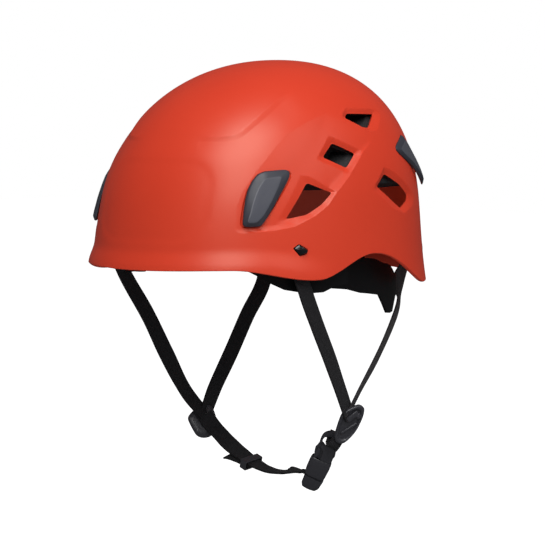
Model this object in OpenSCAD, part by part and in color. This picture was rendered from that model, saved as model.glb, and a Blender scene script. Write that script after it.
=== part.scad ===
/* [Shell] */
// Half the width of the shell at the brim
half_width = 109; // [100:1:118]
// Reach of the shell ahead of the ear line
front_reach = 146; // [138:1:156]
// Reach of the shell behind the ear line
back_reach = 136; // [130:1:146]
// Height of the crown over the front brim
crown_height = 153; // [146:1:164]
// Wall of the moulded shell
wall = 3; // [2:0.1:3.4]
// How much the brim flares out, as a share of the reach
brim_flare = 0.02; // [0:0.005:0.03]
// Step down from the crown band to the sides
band_step = 1.6; // [0:0.1:2]
// Half the width of the raised crown band
band_half = 60; // [50:1:66]

/* [Liner] */
// Thickness of the foam liner
liner_thickness = 17; // [10:1:18]
// Height of the liner's lower edge over the brim
liner_edge = 56; // [54:1:62]
// Gap between the liner and the shell
liner_gap = 0.6; // [0.5:0.05:0.9]

/* [Clips] */
// Thickness of a headlamp clip
clip_thickness = 2.4; // [1.8:0.1:3]
// Gap for the headlamp strap at the free end of a clip
clip_gap = 2.6; // [1.8:0.1:3.4]
// Radius of the stud that holds a clip to the shell
clip_stud_r = 3; // [2:0.1:3.5]

/* [Headband] */
// Thickness of the headband plastic
band_thickness = 2; // [1.4:0.1:2.4]
// Distance from the shell's outer face to the headband at the temples
band_inset = 10.4; // [10:0.1:11]
// Distance from the shell's outer face to the headband at the brow
brow_inset = 15; // [12:0.5:18]
// Thickness of the brow pad
pad_thickness = 7; // [4:0.5:9]
// Thickness of the rear arms
arm_thickness = 1.8; // [1.4:0.1:2]
// Distance from the shell's widest line to the rear arms
arm_room = 21; // [19:0.5:23]

/* [Size wheel] */
// Height of the wheel's axle under the brim
wheel_drop = 16; // [15:0.5:17]
// Radius of the size wheel
wheel_r = 14.5; // [13.5:0.5:16]
// Thickness of the size wheel
wheel_t = 8.6; // [8:0.2:11]
// Module of the rack and pinion teeth
tooth_module = 1.2; // [1.1:0.05:1.25]
// Teeth on the pinion
pinion_teeth = 12; // [12:2:12]
// Radius of the wheel's axle
axle_r = 2; // [1.6:0.1:2.4]
// Running clearance on pins and axles, on the radius
pin_fit = 0.05; // [0.02:0.01:0.08]

/* [Webbing] */
// Width of the webbing
web_width = 15; // [12:0.5:16]
// Thickness of the webbing
web_t = 1.6; // [1.2:0.1:1.8]
// Half the distance between the two strap dividers
yoke_side = 70; // [66:1:76]
// Thickness of a strap divider
yoke_t = 7; // [6.4:0.2:8]

/* [Buckle] */
// Width of the buckle's socket
socket_w = 19; // [18.5:0.5:21]
// Thickness of the buckle's socket
socket_t = 9; // [8.4:0.2:10]
// Length of the buckle's socket
socket_l = 17; // [16:0.5:20]
// Thickness of the buckle's prongs
prong_t = 3.6; // [3:0.1:4]

/* [Hidden] */
$fn = 48;

// Fall of the shell towards the crown, as powers of the height, at the side, front and back
side_curve = [2.84, 2.19];
front_curve = [2.41, 2.09];
back_curve = [2.63, 2.1];
// Roundness of the shell seen from above
round_n = 2.134;
// How far the crown sits behind the ear line
crown_lean = 17;
// Height over which the brim flares
brim_height = 45;
// Height of the shell's edge over the front brim, at angles round from the front
rim_heights = [[0, 0], [36, 1], [65, -7.5], [87, 9], [122, -18], [180, -12]];
// Front edge of the crown band, the blend to the sides and where the band fades out behind
band_front = -112;
band_corner = 26;
band_blend = 7;
band_fade = [-70, -30];
// Heights between which the step of the crown band grows
band_rise = [72, 96];

// Vents in the side view, as distance behind the ear line and height
vents = [
    [[-13, 108.5], [-8, 111.5], [25, 111], [9.5, 101.5], [3, 102]],
    [[-49, 80.5], [-37, 90], [-18, 82], [-30, 72]],
    [[-89, 36.5], [-69, 61.5], [-51, 54.5], [-61, 46], [-74, 39]],
    [[1.5, 57.5], [14, 66], [35, 57.5], [48, 50], [46, 46], [33, 41], [23.5, 45.5]]];
vent_corner = 1.6;
// The first two vents run on through the liner, this much narrower
liner_ports = [0, 1];
port_lip = 1.5;

// Headlamp clips in the side view: foot, head and half widths there
front_clip = [[37 - front_reach, 31], [58 - front_reach, 70.5], [5.4, -0.4], [11, 0.8]];
rear_clip = [[back_reach - 51, 57], [back_reach - 84, 90], [6.5, 3], [10, 5.6]];
clip_seat = 0.3;
clip_stud_at = 0.84;

// Strap hangers in the side view, and their outline on the shell
front_hanger = [-78.3, 14];
rear_hanger = [back_reach - 39, 8];
hanger_outline = [[-5.6, 1.4], [-1.4, 4.2], [5, 0.2], [3.8, -2.6], [-1.4, -4]];
hanger_fit = 0.35;
hanger_recess = 0.9;
hanger_flange = 1.5;
web_inset = [wall + 2.3 + web_t / 2, wall + 1.9 + web_t / 2];

// Headband heights over the front brim, at angles round from the front
brow_low_left = [[0, 3], [34, 3], [60, -17], [68, -19], [76, -14], [84, -13]];
brow_low_right = [[0, 3], [34, 3], [62, -9], [84, -10]];
brow_high = [[0, 25], [45, 24], [60, 23], [72, 6], [84, 2]];
brow_end = 80;
brow_flush_at = 56;
pad_end = 46;
pad_margin = 2.5;
pad_seat = 0.3;

// Temple pivots and the hinge of each rear arm
tilt_y = -64;
tilt_z = -4;
rivet_r = 3;
hinge_y = -54;
hinge_r = 1.5;
eye_r = 3.6;
eye_half = 4;
joint_gap = 0.4;
boss_h = 2.6;
swivel_t = 2.6;
rivet_boss_x = side_x(tilt_y, 0, band_inset + band_thickness);
swivel_x = rivet_boss_x - boss_h - joint_gap;
hinge_x = swivel_x - swivel_t - joint_gap - eye_r;

// Rear arms and ratchet at the nape
arm_x = half_width - arm_room;
nape_y = back_reach - 32;
rack_r = nape_y - hinge_y;
rack_reach = 45;
rack_tip = -8;
rack_teeth = 6;
pitch = PI * tooth_module;
pinion_r = tooth_module * pinion_teeth / 2;
rack_body = 4;
tooth_up = 0.8 * tooth_module;
tooth_down = 1.1 * tooth_module;
rack_top = [wheel_drop - pinion_r - tooth_down - rack_body, wheel_drop - pinion_r - tooth_down];
rack_bottom = [wheel_drop + pinion_r + tooth_down, wheel_drop + pinion_r + tooth_down + rack_body];
rack_gap = 0.6;
plate_r = 108;
plate_t = 2;
plate_gap = 1.1;
plate_y = nape_y - arm_thickness / 2 - plate_gap - plate_r;
cover_half = 20;
cover_t = 2.4;
cover_rail = 2;
cover_low = rack_bottom[1] + joint_gap + cover_rail;
cover_high = rack_top[0] - joint_gap - cover_rail;
cover_in = rack_r + arm_thickness / 2 + rack_gap;
cover_face = nape_y + cover_in - rack_r + cover_t;
hub_r = 4.9;
wheel_gap = 0.6;
detent_r = [9.8, 11.4];
detent_h = 2.6;
detents = 24;
detent_deep = 0.7;
screw_x = 15.5;
screw_r = 1.3;
boss_r = 3;

// Strap dividers: centres, long axes pointing down and outward faces
yoke_at = [[-1.5, 11.5, -127], [2, 14.6, -135.8]];
yoke_axis = [unit([-0.4, -0.26, -0.886]), unit([0.5, 0.12, -0.86])];
yoke_face = [[0.85, -0.5, -0.2], [-0.75, 0.55, -0.35]];
yoke_half = 16;
yoke_top_r = 7.5;
yoke_top_span = 5;
yoke_foot_r = 7;
yoke_hole_r = 1.7;
yoke_hole_y = 8.5;
slot_fit = 0.35;

// Straps: where they leave the shell, how far in from its widest line at the front, where they
// enter a divider and end in it, and which way they lie
strap_top = 8;
leave_in = [13.8, 12.7];
front_leave = [[half_width - leave_in[0], -70, -14], [leave_in[1] - half_width, -60.5, -14]];
rear_leave = [for (x = [67, -67]) [x, back_reach - 48, -26]];
rear_bow = [12, 0];
layer = web_t / 2 + 0.4;
front_mouth = [[21, 22.6, layer + 3], [-5.8, 29, -layer - 5]];
front_end = [[2, 8, layer], [0, 6, -layer]];
rear_mouth = [[-2, 30, -layer - 6], [20, 21.4, layer + 0.5]];
rear_end = [[0.4, 7, -layer], [2, 6, layer]];
front_wide = [unit([0.2, 0.75, 0.6]), unit([0, 0.75, 0.6])];
rear_wide = [unit([0.67, -0.58, 0.46]), unit([-0.5, -0.7, 0.46])];

// Buckle: mouth of the socket, direction towards the left divider and outward face
buckle_mouth = [42.1, 18.8, -154.9];
buckle_axis = unit([0.56, -0.13, 0.82]);
buckle_face = [0.396, -0.827, -0.404];
tail_l = 9;
prong_pivot = [5.4, 10.5];
prong_fit = 0.4;
prong_eye = 2.2;
mouth_half = 6.3;
bridge_l = 2;
ring_hole = [11.4, 6];
ring_mid = 18;

// Small helpers
function unit(v) = v / norm(v);
function clamp(v, low, high) = min(high, max(low, v));
function mix(a, b, t) = a + (b - a) * t;
function ease(t) = let (c = clamp(t, 0, 1)) c * c * (3 - 2 * c);
function spow(v, e) = v == 0 ? 0 : sign(v) * pow(abs(v), e);
function fall(t, curve) = pow(max(0, 1 - pow(t, curve[0])), 1 / curve[1]);
function square_to(v, n) = unit(v - n * (v * n));

// A smooth run through [place, value] pairs
function run(table, x, i = 0) =
    i >= len(table) - 2 || x <= table[i + 1][0]
        ? mix(table[i][1], table[i + 1][1],
            ease((x - table[i][0]) / (table[i + 1][0] - table[i][0])))
        : run(table, x, i + 1);

// A point on a smooth curve through a list of points, t counted in points
function heading(p, i) = unit(p[min(len(p) - 1, i + 1)] - p[max(0, i - 1)]);
function on_curve(p, t) =
    let (i = clamp(floor(t), 0, len(p) - 2), s = t - i, chord = norm(p[i + 1] - p[i]))
    mix(p[i], p[i + 1], s * s * (3 - 2 * s))
        + chord * s * (1 - s) * ((1 - s) * heading(p, i) - s * heading(p, i + 1));
function slope(p, t) = unit(on_curve(p, t + 0.02) - on_curve(p, t - 0.02));

// The shell's outer face, at an angle round from the front and a height, moved in by an inset
function flare(z) = 1 + brim_flare * pow(clamp(1 - z / brim_height, 0, 2), 2);
function dome(a, z, inset) =
    let (t = clamp(z / (crown_height - inset), 0, 1), f = flare(z),
        x = (half_width - inset) * fall(t, side_curve),
        y = cos(a) > 0 ? -(front_reach - inset) * fall(t, front_curve)
                       : (back_reach - inset) * fall(t, back_curve))
    [x * f * spow(sin(a), 2 / round_n),
     y * f * pow(abs(cos(a)), 2 / round_n) + crown_lean * t * t, z];
function rim(a) = run(rim_heights, a > 180 ? 360 - a : a);

// The same face over a place in the side view
function side_x(y, z, inset) =
    let (t = clamp(z / (crown_height - inset), 0, 1), f = flare(z), s = y - crown_lean * t * t,
        reach = s < 0 ? (front_reach - inset) * fall(t, front_curve)
                      : (back_reach - inset) * fall(t, back_curve))
    (half_width - inset) * fall(t, side_curve) * f
        * pow(1 - pow(min(1, abs(s) / (reach * f)), round_n), 1 / round_n);
function side_point(p, inset) = [side_x(p[0], p[1], inset), p[0], p[1]];
function side_normal(p) =
    unit(cross(side_point(p + [1, 0], 0) - side_point(p, 0), side_point(p + [0, 1], 0) - side_point(p, 0)));

// Depth of the step beside the crown band, seen from above
function band_depth(p) =
    let (q = [max(0, abs(p[0]) - band_half + band_corner), max(0, band_front + band_corner - p[1])],
        out = norm(q) - band_corner,
        high = ease((p[2] - band_rise[0]) / (band_rise[1] - band_rise[0])))
    band_step * ease(out / band_blend + 0.5) * high
        * (1 - ease((p[1] - band_fade[0]) / (band_fade[1] - band_fade[0])));

// Puts children in a frame with its own origin and axes
module framed(o, x, y, z) {
    multmatrix([[x[0], y[0], z[0], o[0]], [x[1], y[1], z[1], o[1]], [x[2], y[2], z[2], o[2]], [0, 0, 0, 1]])
        children();
}

// On the shell's outer face: x to the back, y up, z outwards
module on_side(p) {
    n = side_normal(p);
    up = square_to([0, 0, 1], n);
    framed(side_point(p, 0), cross(up, n), up, n) children();
}

module on_left_or_right(right) {
    mirror([right ? 1 : 0, 0, 0]) children();
}

// Profile in the side view, run across the left half
module side_prism() {
    translate([20, 0, 0]) rotate([90, 0, 90]) linear_extrude(half_width) children();
}

// A closed skin between an outer and an inner face over a grid of u and v from 0 to 1
module slab(across, along, outer, inner) {
    w = along + 1;
    n = (across + 1) * w;
    function at(i, j) = i * w + j;
    top = [for (i = [0:across], j = [0:along]) outer(i / across, j / along)];
    low = [for (i = [0:across], j = [0:along]) inner(i / across, j / along)];
    skin = [for (i = [0:across - 1], j = [0:along - 1], k = [0, 1])
        k == 0 ? [at(i, j), at(i, j + 1), at(i + 1, j + 1)] : [at(i, j), at(i + 1, j + 1), at(i + 1, j)]];
    back = [for (f = skin) [n + f[0], n + f[2], n + f[1]]];
    border = concat([for (i = [0:across - 1]) [at(i, 0), at(i + 1, 0)]],
        [for (j = [0:along - 1]) [at(across, j), at(across, j + 1)]],
        [for (i = [across:-1:1]) [at(i, along), at(i - 1, along)]],
        [for (j = [along:-1:1]) [at(0, j), at(0, j - 1)]]);
    walls = [for (e = border, k = [0, 1])
        k == 0 ? [e[0], e[1], n + e[1]] : [e[0], n + e[1], n + e[0]]];
    polyhedron(concat(top, low), concat(skin, back, walls));
}

// A domed wall between two faces, from an edge up to the crown
module domed(sides, rings, outer, inner, low) {
    function ring(inset, s, r) = let (a = 360 * s / sides)
        [a, mix(low(a), crown_height - inset, sin(90 * r / rings))];
    function face(f, inset) = concat(
        [for (r = [0:rings - 1], s = [0:sides - 1]) let (q = ring(inset, s, r)) f(q[0], q[1])],
        [[0, crown_lean, crown_height - inset]]);
    n = sides * rings + 1;
    function at(s, r) = r == rings ? n - 1 : r * sides + s % sides;
    skin = [for (s = [0:sides - 1], r = [0:rings - 1], k = [0, 1])
        if (k == 0 || r < rings - 1) k == 0 ? [at(s, r), at(s, r + 1), at(s + 1, r)]
                                            : [at(s, r + 1), at(s + 1, r + 1), at(s + 1, r)]];
    back = [for (f = skin) [n + f[0], n + f[2], n + f[1]]];
    edge = [for (s = [0:sides - 1]) [at(s, 0), at(s + 1, 0), n + at(s + 1, 0), n + at(s, 0)]];
    outer_face = function(a, z) let (p = dome(a, z, outer)) outer > 0 ? p : dome(a, z, band_depth(p));
    inner_face = function(a, z) dome(a, z, inner);
    polyhedron(concat(face(outer_face, outer), face(inner_face, inner)), concat(skin, back, edge));
}

// Webbing along a route, with the direction across it at each point
module webbing(route, across, steps = 4, t = web_t, width = web_width, longer = 0) {
    n = len(route) - 1;
    past = [-longer * unit(route[1] - route[0]), longer * unit(route[n] - route[n - 1])];
    function frame(s) = let (d = slope(route, s), i = clamp(floor(s), 0, n - 1),
        w = square_to(mix(across[i], across[i + 1], ease(s - i)), d))
        [on_curve(route, s) + (s == 0 ? past[0] : s == n ? past[1] : [0, 0, 0]), w, cross(d, w)];
    slab(n * steps, 1,
        function(u, v) let (f = frame(u * n)) f[0] + f[1] * width * (v - 0.5) + f[2] * t / 2,
        function(u, v) let (f = frame(u * n)) f[0] + f[1] * width * (v - 0.5) - f[2] * t / 2);
}

module vent_outline(i) {
    offset(r = vent_corner, $fn = 16) offset(delta = -vent_corner) polygon(vents[i]);
}

module hanger_hole(p, deep, fit) {
    on_side(p) translate([0, 0, -deep]) linear_extrude(deep + 8) offset(delta = fit) polygon(hanger_outline);
}

function clip_point(c, s, t) =
    mix(c[0], c[1], (t + 1) / 2) + mix(c[2], c[3], (t + 1) / 2) * s * (1 - 0.5 * pow(abs(t), 9));
function clip_stud_place(c) = clip_point(c, 0, 2 * clip_stud_at - 1);

module clip_stud(c, fit, low, high) {
    on_side(clip_stud_place(c)) translate([0, 0, low]) cylinder(h = high - low, r = clip_stud_r + fit);
}

module shell() {
    color("orangered") difference() {
        domed(60, 16, 0, wall, function(a) rim(a));
        for (right = [false, true]) on_left_or_right(right) {
            side_prism() for (i = [0:len(vents) - 1]) vent_outline(i);
            for (p = [front_hanger, rear_hanger]) hanger_hole(p, wall + 4, 0);
            for (c = [front_clip, rear_clip]) clip_stud(c, pin_fit, -wall - 4, 4);
        }
    }
}

module foam_liner() {
    color("dimgray") difference() {
        domed(48, 9, wall + liner_gap, wall + liner_gap + liner_thickness, function(a) liner_edge);
        for (right = [false, true]) on_left_or_right(right)
            side_prism() for (i = liner_ports) offset(delta = -port_lip) polygon(vents[i]);
    }
}

// A headlamp clip: a crowned blade that stands off the shell towards its foot
module clip(c) {
    rows = 12;
    function edge(k) = let (s = 2 * k - 1) sign(s) * (1 - pow(1 - abs(s), 1.6));
    function over(s, t) = mix(clip_gap, clip_seat, ease((t + 1) / 1.7));
    blade_top = function(u, v) let (s = edge(u), t = edge(v), p = clip_point(c, s, t))
        side_point(p, -over(s, t) - clip_thickness * (1 - 0.45 * pow(max(abs(s), abs(t)), 6)));
    blade_low = function(u, v) let (s = edge(u), t = edge(v), p = clip_point(c, s, t))
        side_point(p, -over(s, t));
    color("slategray") union() {
        slab(6, rows, blade_top, blade_low);
        clip_stud(c, 0, -wall + 0.2, clip_seat + clip_thickness / 2);
    }
}
module clip_front_left() { clip(front_clip); }
module clip_front_right() { mirror([1, 0, 0]) clip(front_clip); }
module clip_rear_left() { clip(rear_clip); }
module clip_rear_right() { mirror([1, 0, 0]) clip(rear_clip); }

// A strap hanger: a plug in the shell with a flange that traps what hangs on it
module hanger(p, deep) {
    color("black") on_side(p) {
        translate([0, 0, -deep - 2]) linear_extrude(deep + 2 - hanger_recess)
            offset(delta = -hanger_fit) polygon(hanger_outline);
        translate([0, 0, -deep - 2]) linear_extrude(2)
            offset(delta = hanger_flange) polygon(hanger_outline);
    }
}
hanger_front_depth = band_inset + band_thickness + 0.4;
hanger_rear_depth = web_inset[1] + web_t / 2 + 3.2;
module hanger_front_left() { hanger(front_hanger, hanger_front_depth); }
module hanger_front_right() { mirror([1, 0, 0]) hanger(front_hanger, hanger_front_depth); }
module hanger_rear_left() { hanger(rear_hanger, hanger_rear_depth); }
module hanger_rear_right() { mirror([1, 0, 0]) hanger(rear_hanger, hanger_rear_depth); }

// Plan of the headband, from the brow round to both temples
function brow_at(a) = mix(brow_inset, band_inset, ease(abs(a) / brow_flush_at));
function brow_point(a, z, deeper) = let (p = dome(a, 0, brow_at(a) + deeper)) [p[0], p[1], z];
function brow_edge(a) = run(a > 0 ? brow_low_left : brow_low_right, abs(a));
function brow_z(a, v) = mix(brow_edge(a), run(brow_high, abs(a)), v);

module brow_band() {
    color("black") difference() {
        union() {
            slab(32, 2,
                function(u, v) let (a = brow_end * (2 * u - 1)) brow_point(a, brow_z(a, v), 0),
                function(u, v) let (a = brow_end * (2 * u - 1)) brow_point(a, brow_z(a, v), band_thickness));
            for (right = [false, true]) on_left_or_right(right)
                translate([rivet_boss_x - boss_h, tilt_y, tilt_z]) rotate([0, 90, 0])
                    cylinder(h = boss_h + band_thickness, r = rivet_r + 2.5);
        }
        for (right = [false, true]) on_left_or_right(right) {
            hanger_hole(front_hanger, hanger_front_depth + 4, hanger_fit);
            translate([rivet_boss_x - 5, tilt_y, tilt_z]) rotate([0, 90, 0])
                cylinder(h = 12, r = rivet_r + pin_fit);
        }
    }
}

module brow_pad() {
    function pad_z(a, v) = mix(brow_edge(a) + pad_margin, run(brow_high, abs(a)) - pad_margin, v);
    function puff(u, v) = pad_thickness
        * (0.3 + 0.7 * pow((1 - pow(2 * u - 1, 8)) * (1 - pow(2 * v - 1, 4)), 0.5));
    color("black") slab(26, 6,
        function(u, v) let (a = pad_end * (2 * u - 1)) brow_point(a, pad_z(a, v), band_thickness + pad_seat),
        function(u, v) let (a = pad_end * (2 * u - 1))
            brow_point(a, pad_z(a, v), band_thickness + pad_seat + puff(u, v)));
}

module temple_rivet() {
    color("dimgray") translate([swivel_x - swivel_t - joint_gap, tilt_y, tilt_z]) rotate([0, 90, 0]) {
        cylinder(h = swivel_t + 2 * joint_gap + boss_h + band_thickness, r = rivet_r);
        translate([0, 0, -1.2]) cylinder(h = 1.2, r = rivet_r + 1.6);
    }
}
module temple_rivet_left() { temple_rivet(); }
module temple_rivet_right() { mirror([1, 0, 0]) temple_rivet(); }

// A swivel turns on the temple rivet and carries the upright pin of one rear arm
module temple_swivel() {
    ear_z = [tilt_z - eye_half - joint_gap - swivel_t, tilt_z + eye_half + joint_gap];
    color("black") difference() {
        union() {
            translate([swivel_x - swivel_t, tilt_y, tilt_z]) rotate([0, 90, 0])
                cylinder(h = swivel_t, r = rivet_r + 4);
            translate([swivel_x - swivel_t, tilt_y, ear_z[0]])
                cube([swivel_t, hinge_y - tilt_y + eye_r, ear_z[1] + swivel_t - ear_z[0]]);
            for (z = ear_z) {
                translate([hinge_x, hinge_y, z]) cylinder(h = swivel_t, r = eye_r);
                translate([hinge_x, hinge_y - eye_r, z])
                    cube([swivel_x - hinge_x - 0.1, 2 * eye_r, swivel_t]);
            }
            translate([hinge_x, hinge_y, ear_z[0]]) cylinder(h = ear_z[1] - ear_z[0] + swivel_t, r = hinge_r);
        }
        translate([swivel_x - 12, tilt_y, tilt_z]) rotate([0, 90, 0]) cylinder(h = 24, r = rivet_r + pin_fit);
    }
}
module temple_swivel_left() { temple_swivel(); }
module temple_swivel_right() { mirror([1, 0, 0]) temple_swivel(); }

// Plan of a rear arm: along the side, round the corner and along the rack
rack_turn = asin(rack_reach / rack_r);
corner_from = [arm_x, 15];
corner_to = [rack_reach, hinge_y + rack_r * cos(rack_turn)];
corner_in = [arm_x, 55];
corner_out = corner_to + 24 * [cos(rack_turn), -sin(rack_turn)];
function bend(t) = pow(1 - t, 3) * corner_from + 3 * t * pow(1 - t, 2) * corner_in
    + 3 * t * t * (1 - t) * corner_out + t * t * t * corner_to;
arm_start = [hinge_x + 1.2, hinge_y + 2];
arm_plan = concat(
    [for (i = [0:3]) mix(arm_start, corner_from, i / 4)],
    [for (i = [0:8]) bend(i / 8)],
    [for (i = [1:7]) let (a = mix(rack_turn, asin(rack_tip / rack_r), i / 7))
        [rack_r * sin(a), hinge_y + rack_r * cos(a)]]);
arm_last = len(arm_plan) - 1;
function arm_face(t, z, side) =
    let (d = slope(arm_plan, t), p = on_curve(arm_plan, t) + [d[1], -d[0]] * side) [p[0], p[1], z];
// Heights of the arms along their plan: the left one runs to the lower rack and has a thumb tab
arm_high_left = [[0, 0], [2, 2], [4, 3], [6, -3], [8, -13],
    [12, -rack_bottom[0]], [arm_last, -rack_bottom[0]]];
arm_low_left = [[0, -8], [2, -18], [4, -24], [5, -26], [6, -41], [6.8, -42], [8, -30], [9, -29],
    [11, -rack_bottom[1]], [arm_last, -rack_bottom[1]]];
arm_high_right = [[0, 0], [2, 2], [4, 2], [8, 1], [12, -rack_top[0]], [arm_last, -rack_top[0]]];
arm_low_right = [[0, -8], [2, -12], [4, -13], [8, -15], [12, -rack_top[1]], [arm_last, -rack_top[1]]];

module rack_tooth(root, tip) {
    at_pitch = 0.37 * pitch;
    wide = at_pitch + 0.36 * tooth_down * 2;
    thin = at_pitch - 0.36 * tooth_up * 2;
    over = sign(root - tip) * 0.3;
    translate([0, arm_thickness / 2, 0]) rotate([90, 0, 0]) linear_extrude(arm_thickness)
        polygon([[-wide / 2, root + over], [-wide / 2, root], [-thin / 2, tip], [thin / 2, tip],
            [wide / 2, root], [wide / 2, root + over]]);
}

module band_arm(high, low, root, tip) {
    first = ceil(rack_tip / pitch);
    arm_at = function(t, v, side) arm_face(t, mix(run(low, t), run(high, t), v), side);
    color("black") difference() {
        union() {
            slab(2 * arm_last, 1,
                function(u, v) arm_at(u * arm_last, v, arm_thickness / 2),
                function(u, v) arm_at(u * arm_last, v, -arm_thickness / 2));
            for (i = [first:rack_teeth]) translate([0, hinge_y, 0])
                rotate([0, 0, -(i + 0.5) * pitch / rack_r * 180 / PI])
                    translate([0, rack_r, 0]) rack_tooth(root, tip);
            translate([hinge_x, hinge_y, tilt_z - eye_half]) cylinder(h = 2 * eye_half, r = eye_r);
        }
        translate([hinge_x, hinge_y, tilt_z - 20]) cylinder(h = 40, r = hinge_r + pin_fit);
    }
}
module band_arm_left() {
    band_arm(arm_high_left, arm_low_left, -rack_bottom[0], -wheel_drop - pinion_r + tooth_up);
}
module band_arm_right() {
    mirror([1, 0, 0])
        band_arm(arm_high_right, arm_low_right, -rack_top[1], -wheel_drop + pinion_r - tooth_up);
}

// Profile seen from behind, run through the nape from front to back
module nape_prism() {
    translate([0, nape_y + 30, 0]) rotate([90, 0, 0]) linear_extrude(90) children();
}
module nape_pin(y0, y1, r, x = 0) {
    translate([x, y0, -wheel_drop]) rotate([-90, 0, 0]) cylinder(h = y1 - y0, r = r);
}
module plate_cylinder(r) {
    translate([0, plate_y, -wheel_drop - 40]) cylinder(h = 80, r = r, $fn = 96);
}
module rack_cylinder(r) {
    translate([0, hinge_y, -wheel_drop - 40]) cylinder(h = 80, r = r, $fn = 96);
}
module rounded_box(x0, z0, x1, z1, r) {
    union() {
        translate([x0 + r, z0]) square([x1 - x0 - 2 * r, z1 - z0]);
        translate([x0, z0 + r]) square([x1 - x0, z1 - z0 - 2 * r]);
        for (x = [x0 + r, x1 - r], z = [z0 + r, z1 - r]) translate([x, z]) circle(r);
    }
}

plate_face = plate_y + plate_r;
module nape_plate() {
    wing = 42;
    color("black") difference() {
        intersection() {
            nape_prism() union() {
                rounded_box(-cover_half - 1, -cover_low, cover_half + 1, -cover_high, 4);
                rounded_box(-wing, -wheel_drop - 6, wing, -wheel_drop + 9, 7);
            }
            difference() {
                plate_cylinder(plate_r);
                plate_cylinder(plate_r - plate_t);
                translate([-100, plate_y - 2 * plate_r, -100]) cube([200, 2 * plate_r, 200]);
            }
        }
        nape_pin(plate_face - 10, plate_face + 10, axle_r + pin_fit);
        for (x = [-screw_x, screw_x]) nape_pin(plate_face - 12, plate_face + 10, screw_r + pin_fit, x);
    }
}

// The cover over the racks, with a toothed detent ring round the hub
module ratchet_cover() {
    step = 360 / detents;
    color("dimgray") difference() {
        union() {
            intersection() {
                nape_prism() rounded_box(-cover_half, -cover_low, cover_half, -cover_high, 4);
                rack_cylinder(cover_in + cover_t);
                translate([-100, plate_y, -100]) cube([200, 200, 200]);
            }
            translate([0, cover_face - 0.5, -wheel_drop]) rotate([-90, 0, 0]) linear_extrude(detent_h + 0.5)
                difference() {
                    circle(detent_r[1]);
                    polygon([for (i = [0:2 * detents - 1])
                        (detent_r[0] + (i % 2) * detent_deep) * [cos(i * step / 2), sin(i * step / 2)]]);
                }
        }
        plate_cylinder(plate_r + 0.05);
        difference() {
            intersection() {
                rack_cylinder(cover_in);
                translate([-100, 0, -cover_low + cover_rail])
                    cube([200, 200, cover_low - cover_high - 2 * cover_rail]);
            }
            for (x = [-screw_x, screw_x]) nape_pin(0, 200, boss_r, x);
        }
        nape_pin(cover_face - 10, cover_face + 10, hub_r + pin_fit);
        for (x = [-screw_x, screw_x]) nape_pin(plate_face - 20, cover_face - 1, screw_r + pin_fit, x);
    }
}

module cover_screws() {
    color("silver") for (x = [-screw_x, screw_x]) {
        drop = plate_r - sqrt(plate_r * plate_r - x * x);
        nape_pin(plate_face - drop - plate_t - 0.8, cover_face - 1.4, screw_r, x);
        nape_pin(plate_face - drop - plate_t - 2, plate_face - drop - plate_t - 0.7, screw_r + 1.2, x);
    }
}

wheel_y = cover_face + wheel_gap;
pinion_y = [plate_face + 0.5, nape_y + arm_thickness / 2 + 0.1];
module wheel_axle() {
    color("silver") union() {
        nape_pin(plate_face - plate_t - 1, wheel_y + wheel_t + 0.4, axle_r);
        nape_pin(plate_face - plate_t - 2, plate_face - plate_t - 0.2, axle_r + 1.5);
        nape_pin(wheel_y + wheel_t + 0.3, wheel_y + wheel_t + 1.5, axle_r + 2);
    }
}

// The size wheel: a ribbed cap with a hub through the cover
module ratchet_wheel() {
    ribs = 20;
    hollow = 5;
    color("black") difference() {
        union() {
            nape_pin(wheel_y, wheel_y + wheel_t - 1.2, wheel_r);
            nape_pin(wheel_y + wheel_t - 1.3, wheel_y + wheel_t, wheel_r - 1.2);
            nape_pin(pinion_y[1], wheel_y + 1, hub_r);
        }
        difference() {
            nape_pin(wheel_y - 1, wheel_y + hollow, detent_r[1] + 0.8);
            nape_pin(wheel_y - 2, wheel_y + hollow + 1, hub_r);
        }
        for (i = [0:ribs - 1]) translate([0, 0, -wheel_drop]) rotate([0, i * 360 / ribs, 0])
            translate([0, wheel_y - 1, wheel_r + 0.5]) rotate([-90, 0, 0])
                cylinder(h = wheel_t + 2, r = 1.3, $fn = 16);
        nape_pin(plate_face, wheel_y + wheel_t + 5, axle_r + pin_fit);
    }
}

module drive_pinion() {
    step = 360 / pinion_teeth;
    tip = pinion_r + tooth_up;
    root = pinion_r - tooth_down;
    corners = [[root, -0.31], [tip, -0.1], [tip, 0.1], [root, 0.31]];
    color("white") translate([0, pinion_y[0], -wheel_drop]) rotate([-90, 0, 0])
        linear_extrude(pinion_y[1] - pinion_y[0]) difference() {
            polygon([for (i = [0:pinion_teeth - 1], k = corners)
                k[0] * [cos(90 + (i + k[1]) * step), sin(90 + (i + k[1]) * step)]]);
            circle(axle_r + pin_fit);
        }
}

// A sprung ring on the hub, with a nose that clicks past the detents
module click_spring() {
    r = hub_r + 2.2;
    color("silver") translate([0, wheel_y + 0.2, -wheel_drop]) rotate([-90, 0, 0]) linear_extrude(1.6)
        difference() {
            union() {
                circle(r + 0.8);
                translate([detent_r[0] - 2.6, -0.7]) square([2.2, 1.4]);
            }
            difference() {
                circle(r);
                translate([-r - 1, -1]) square([r + 1, 2]);
            }
            circle(hub_r + 0.1);
            rotate(40) translate([0, -0.6]) square([r + 3, 1.2]);
        }
}

// Strap dividers
function yoke_centre(k) = [yoke_side * (k == 0 ? 1 : -1), 0, 0] + yoke_at[k];
function yoke_out(k) = square_to(yoke_face[k], yoke_axis[k]);
function yoke_across(k) = cross(yoke_axis[k], yoke_out(k));
function yoke_point(k, p) = yoke_centre(k) + yoke_across(k) * p[0] - yoke_axis[k] * p[1] + yoke_out(k) * p[2];

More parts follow.
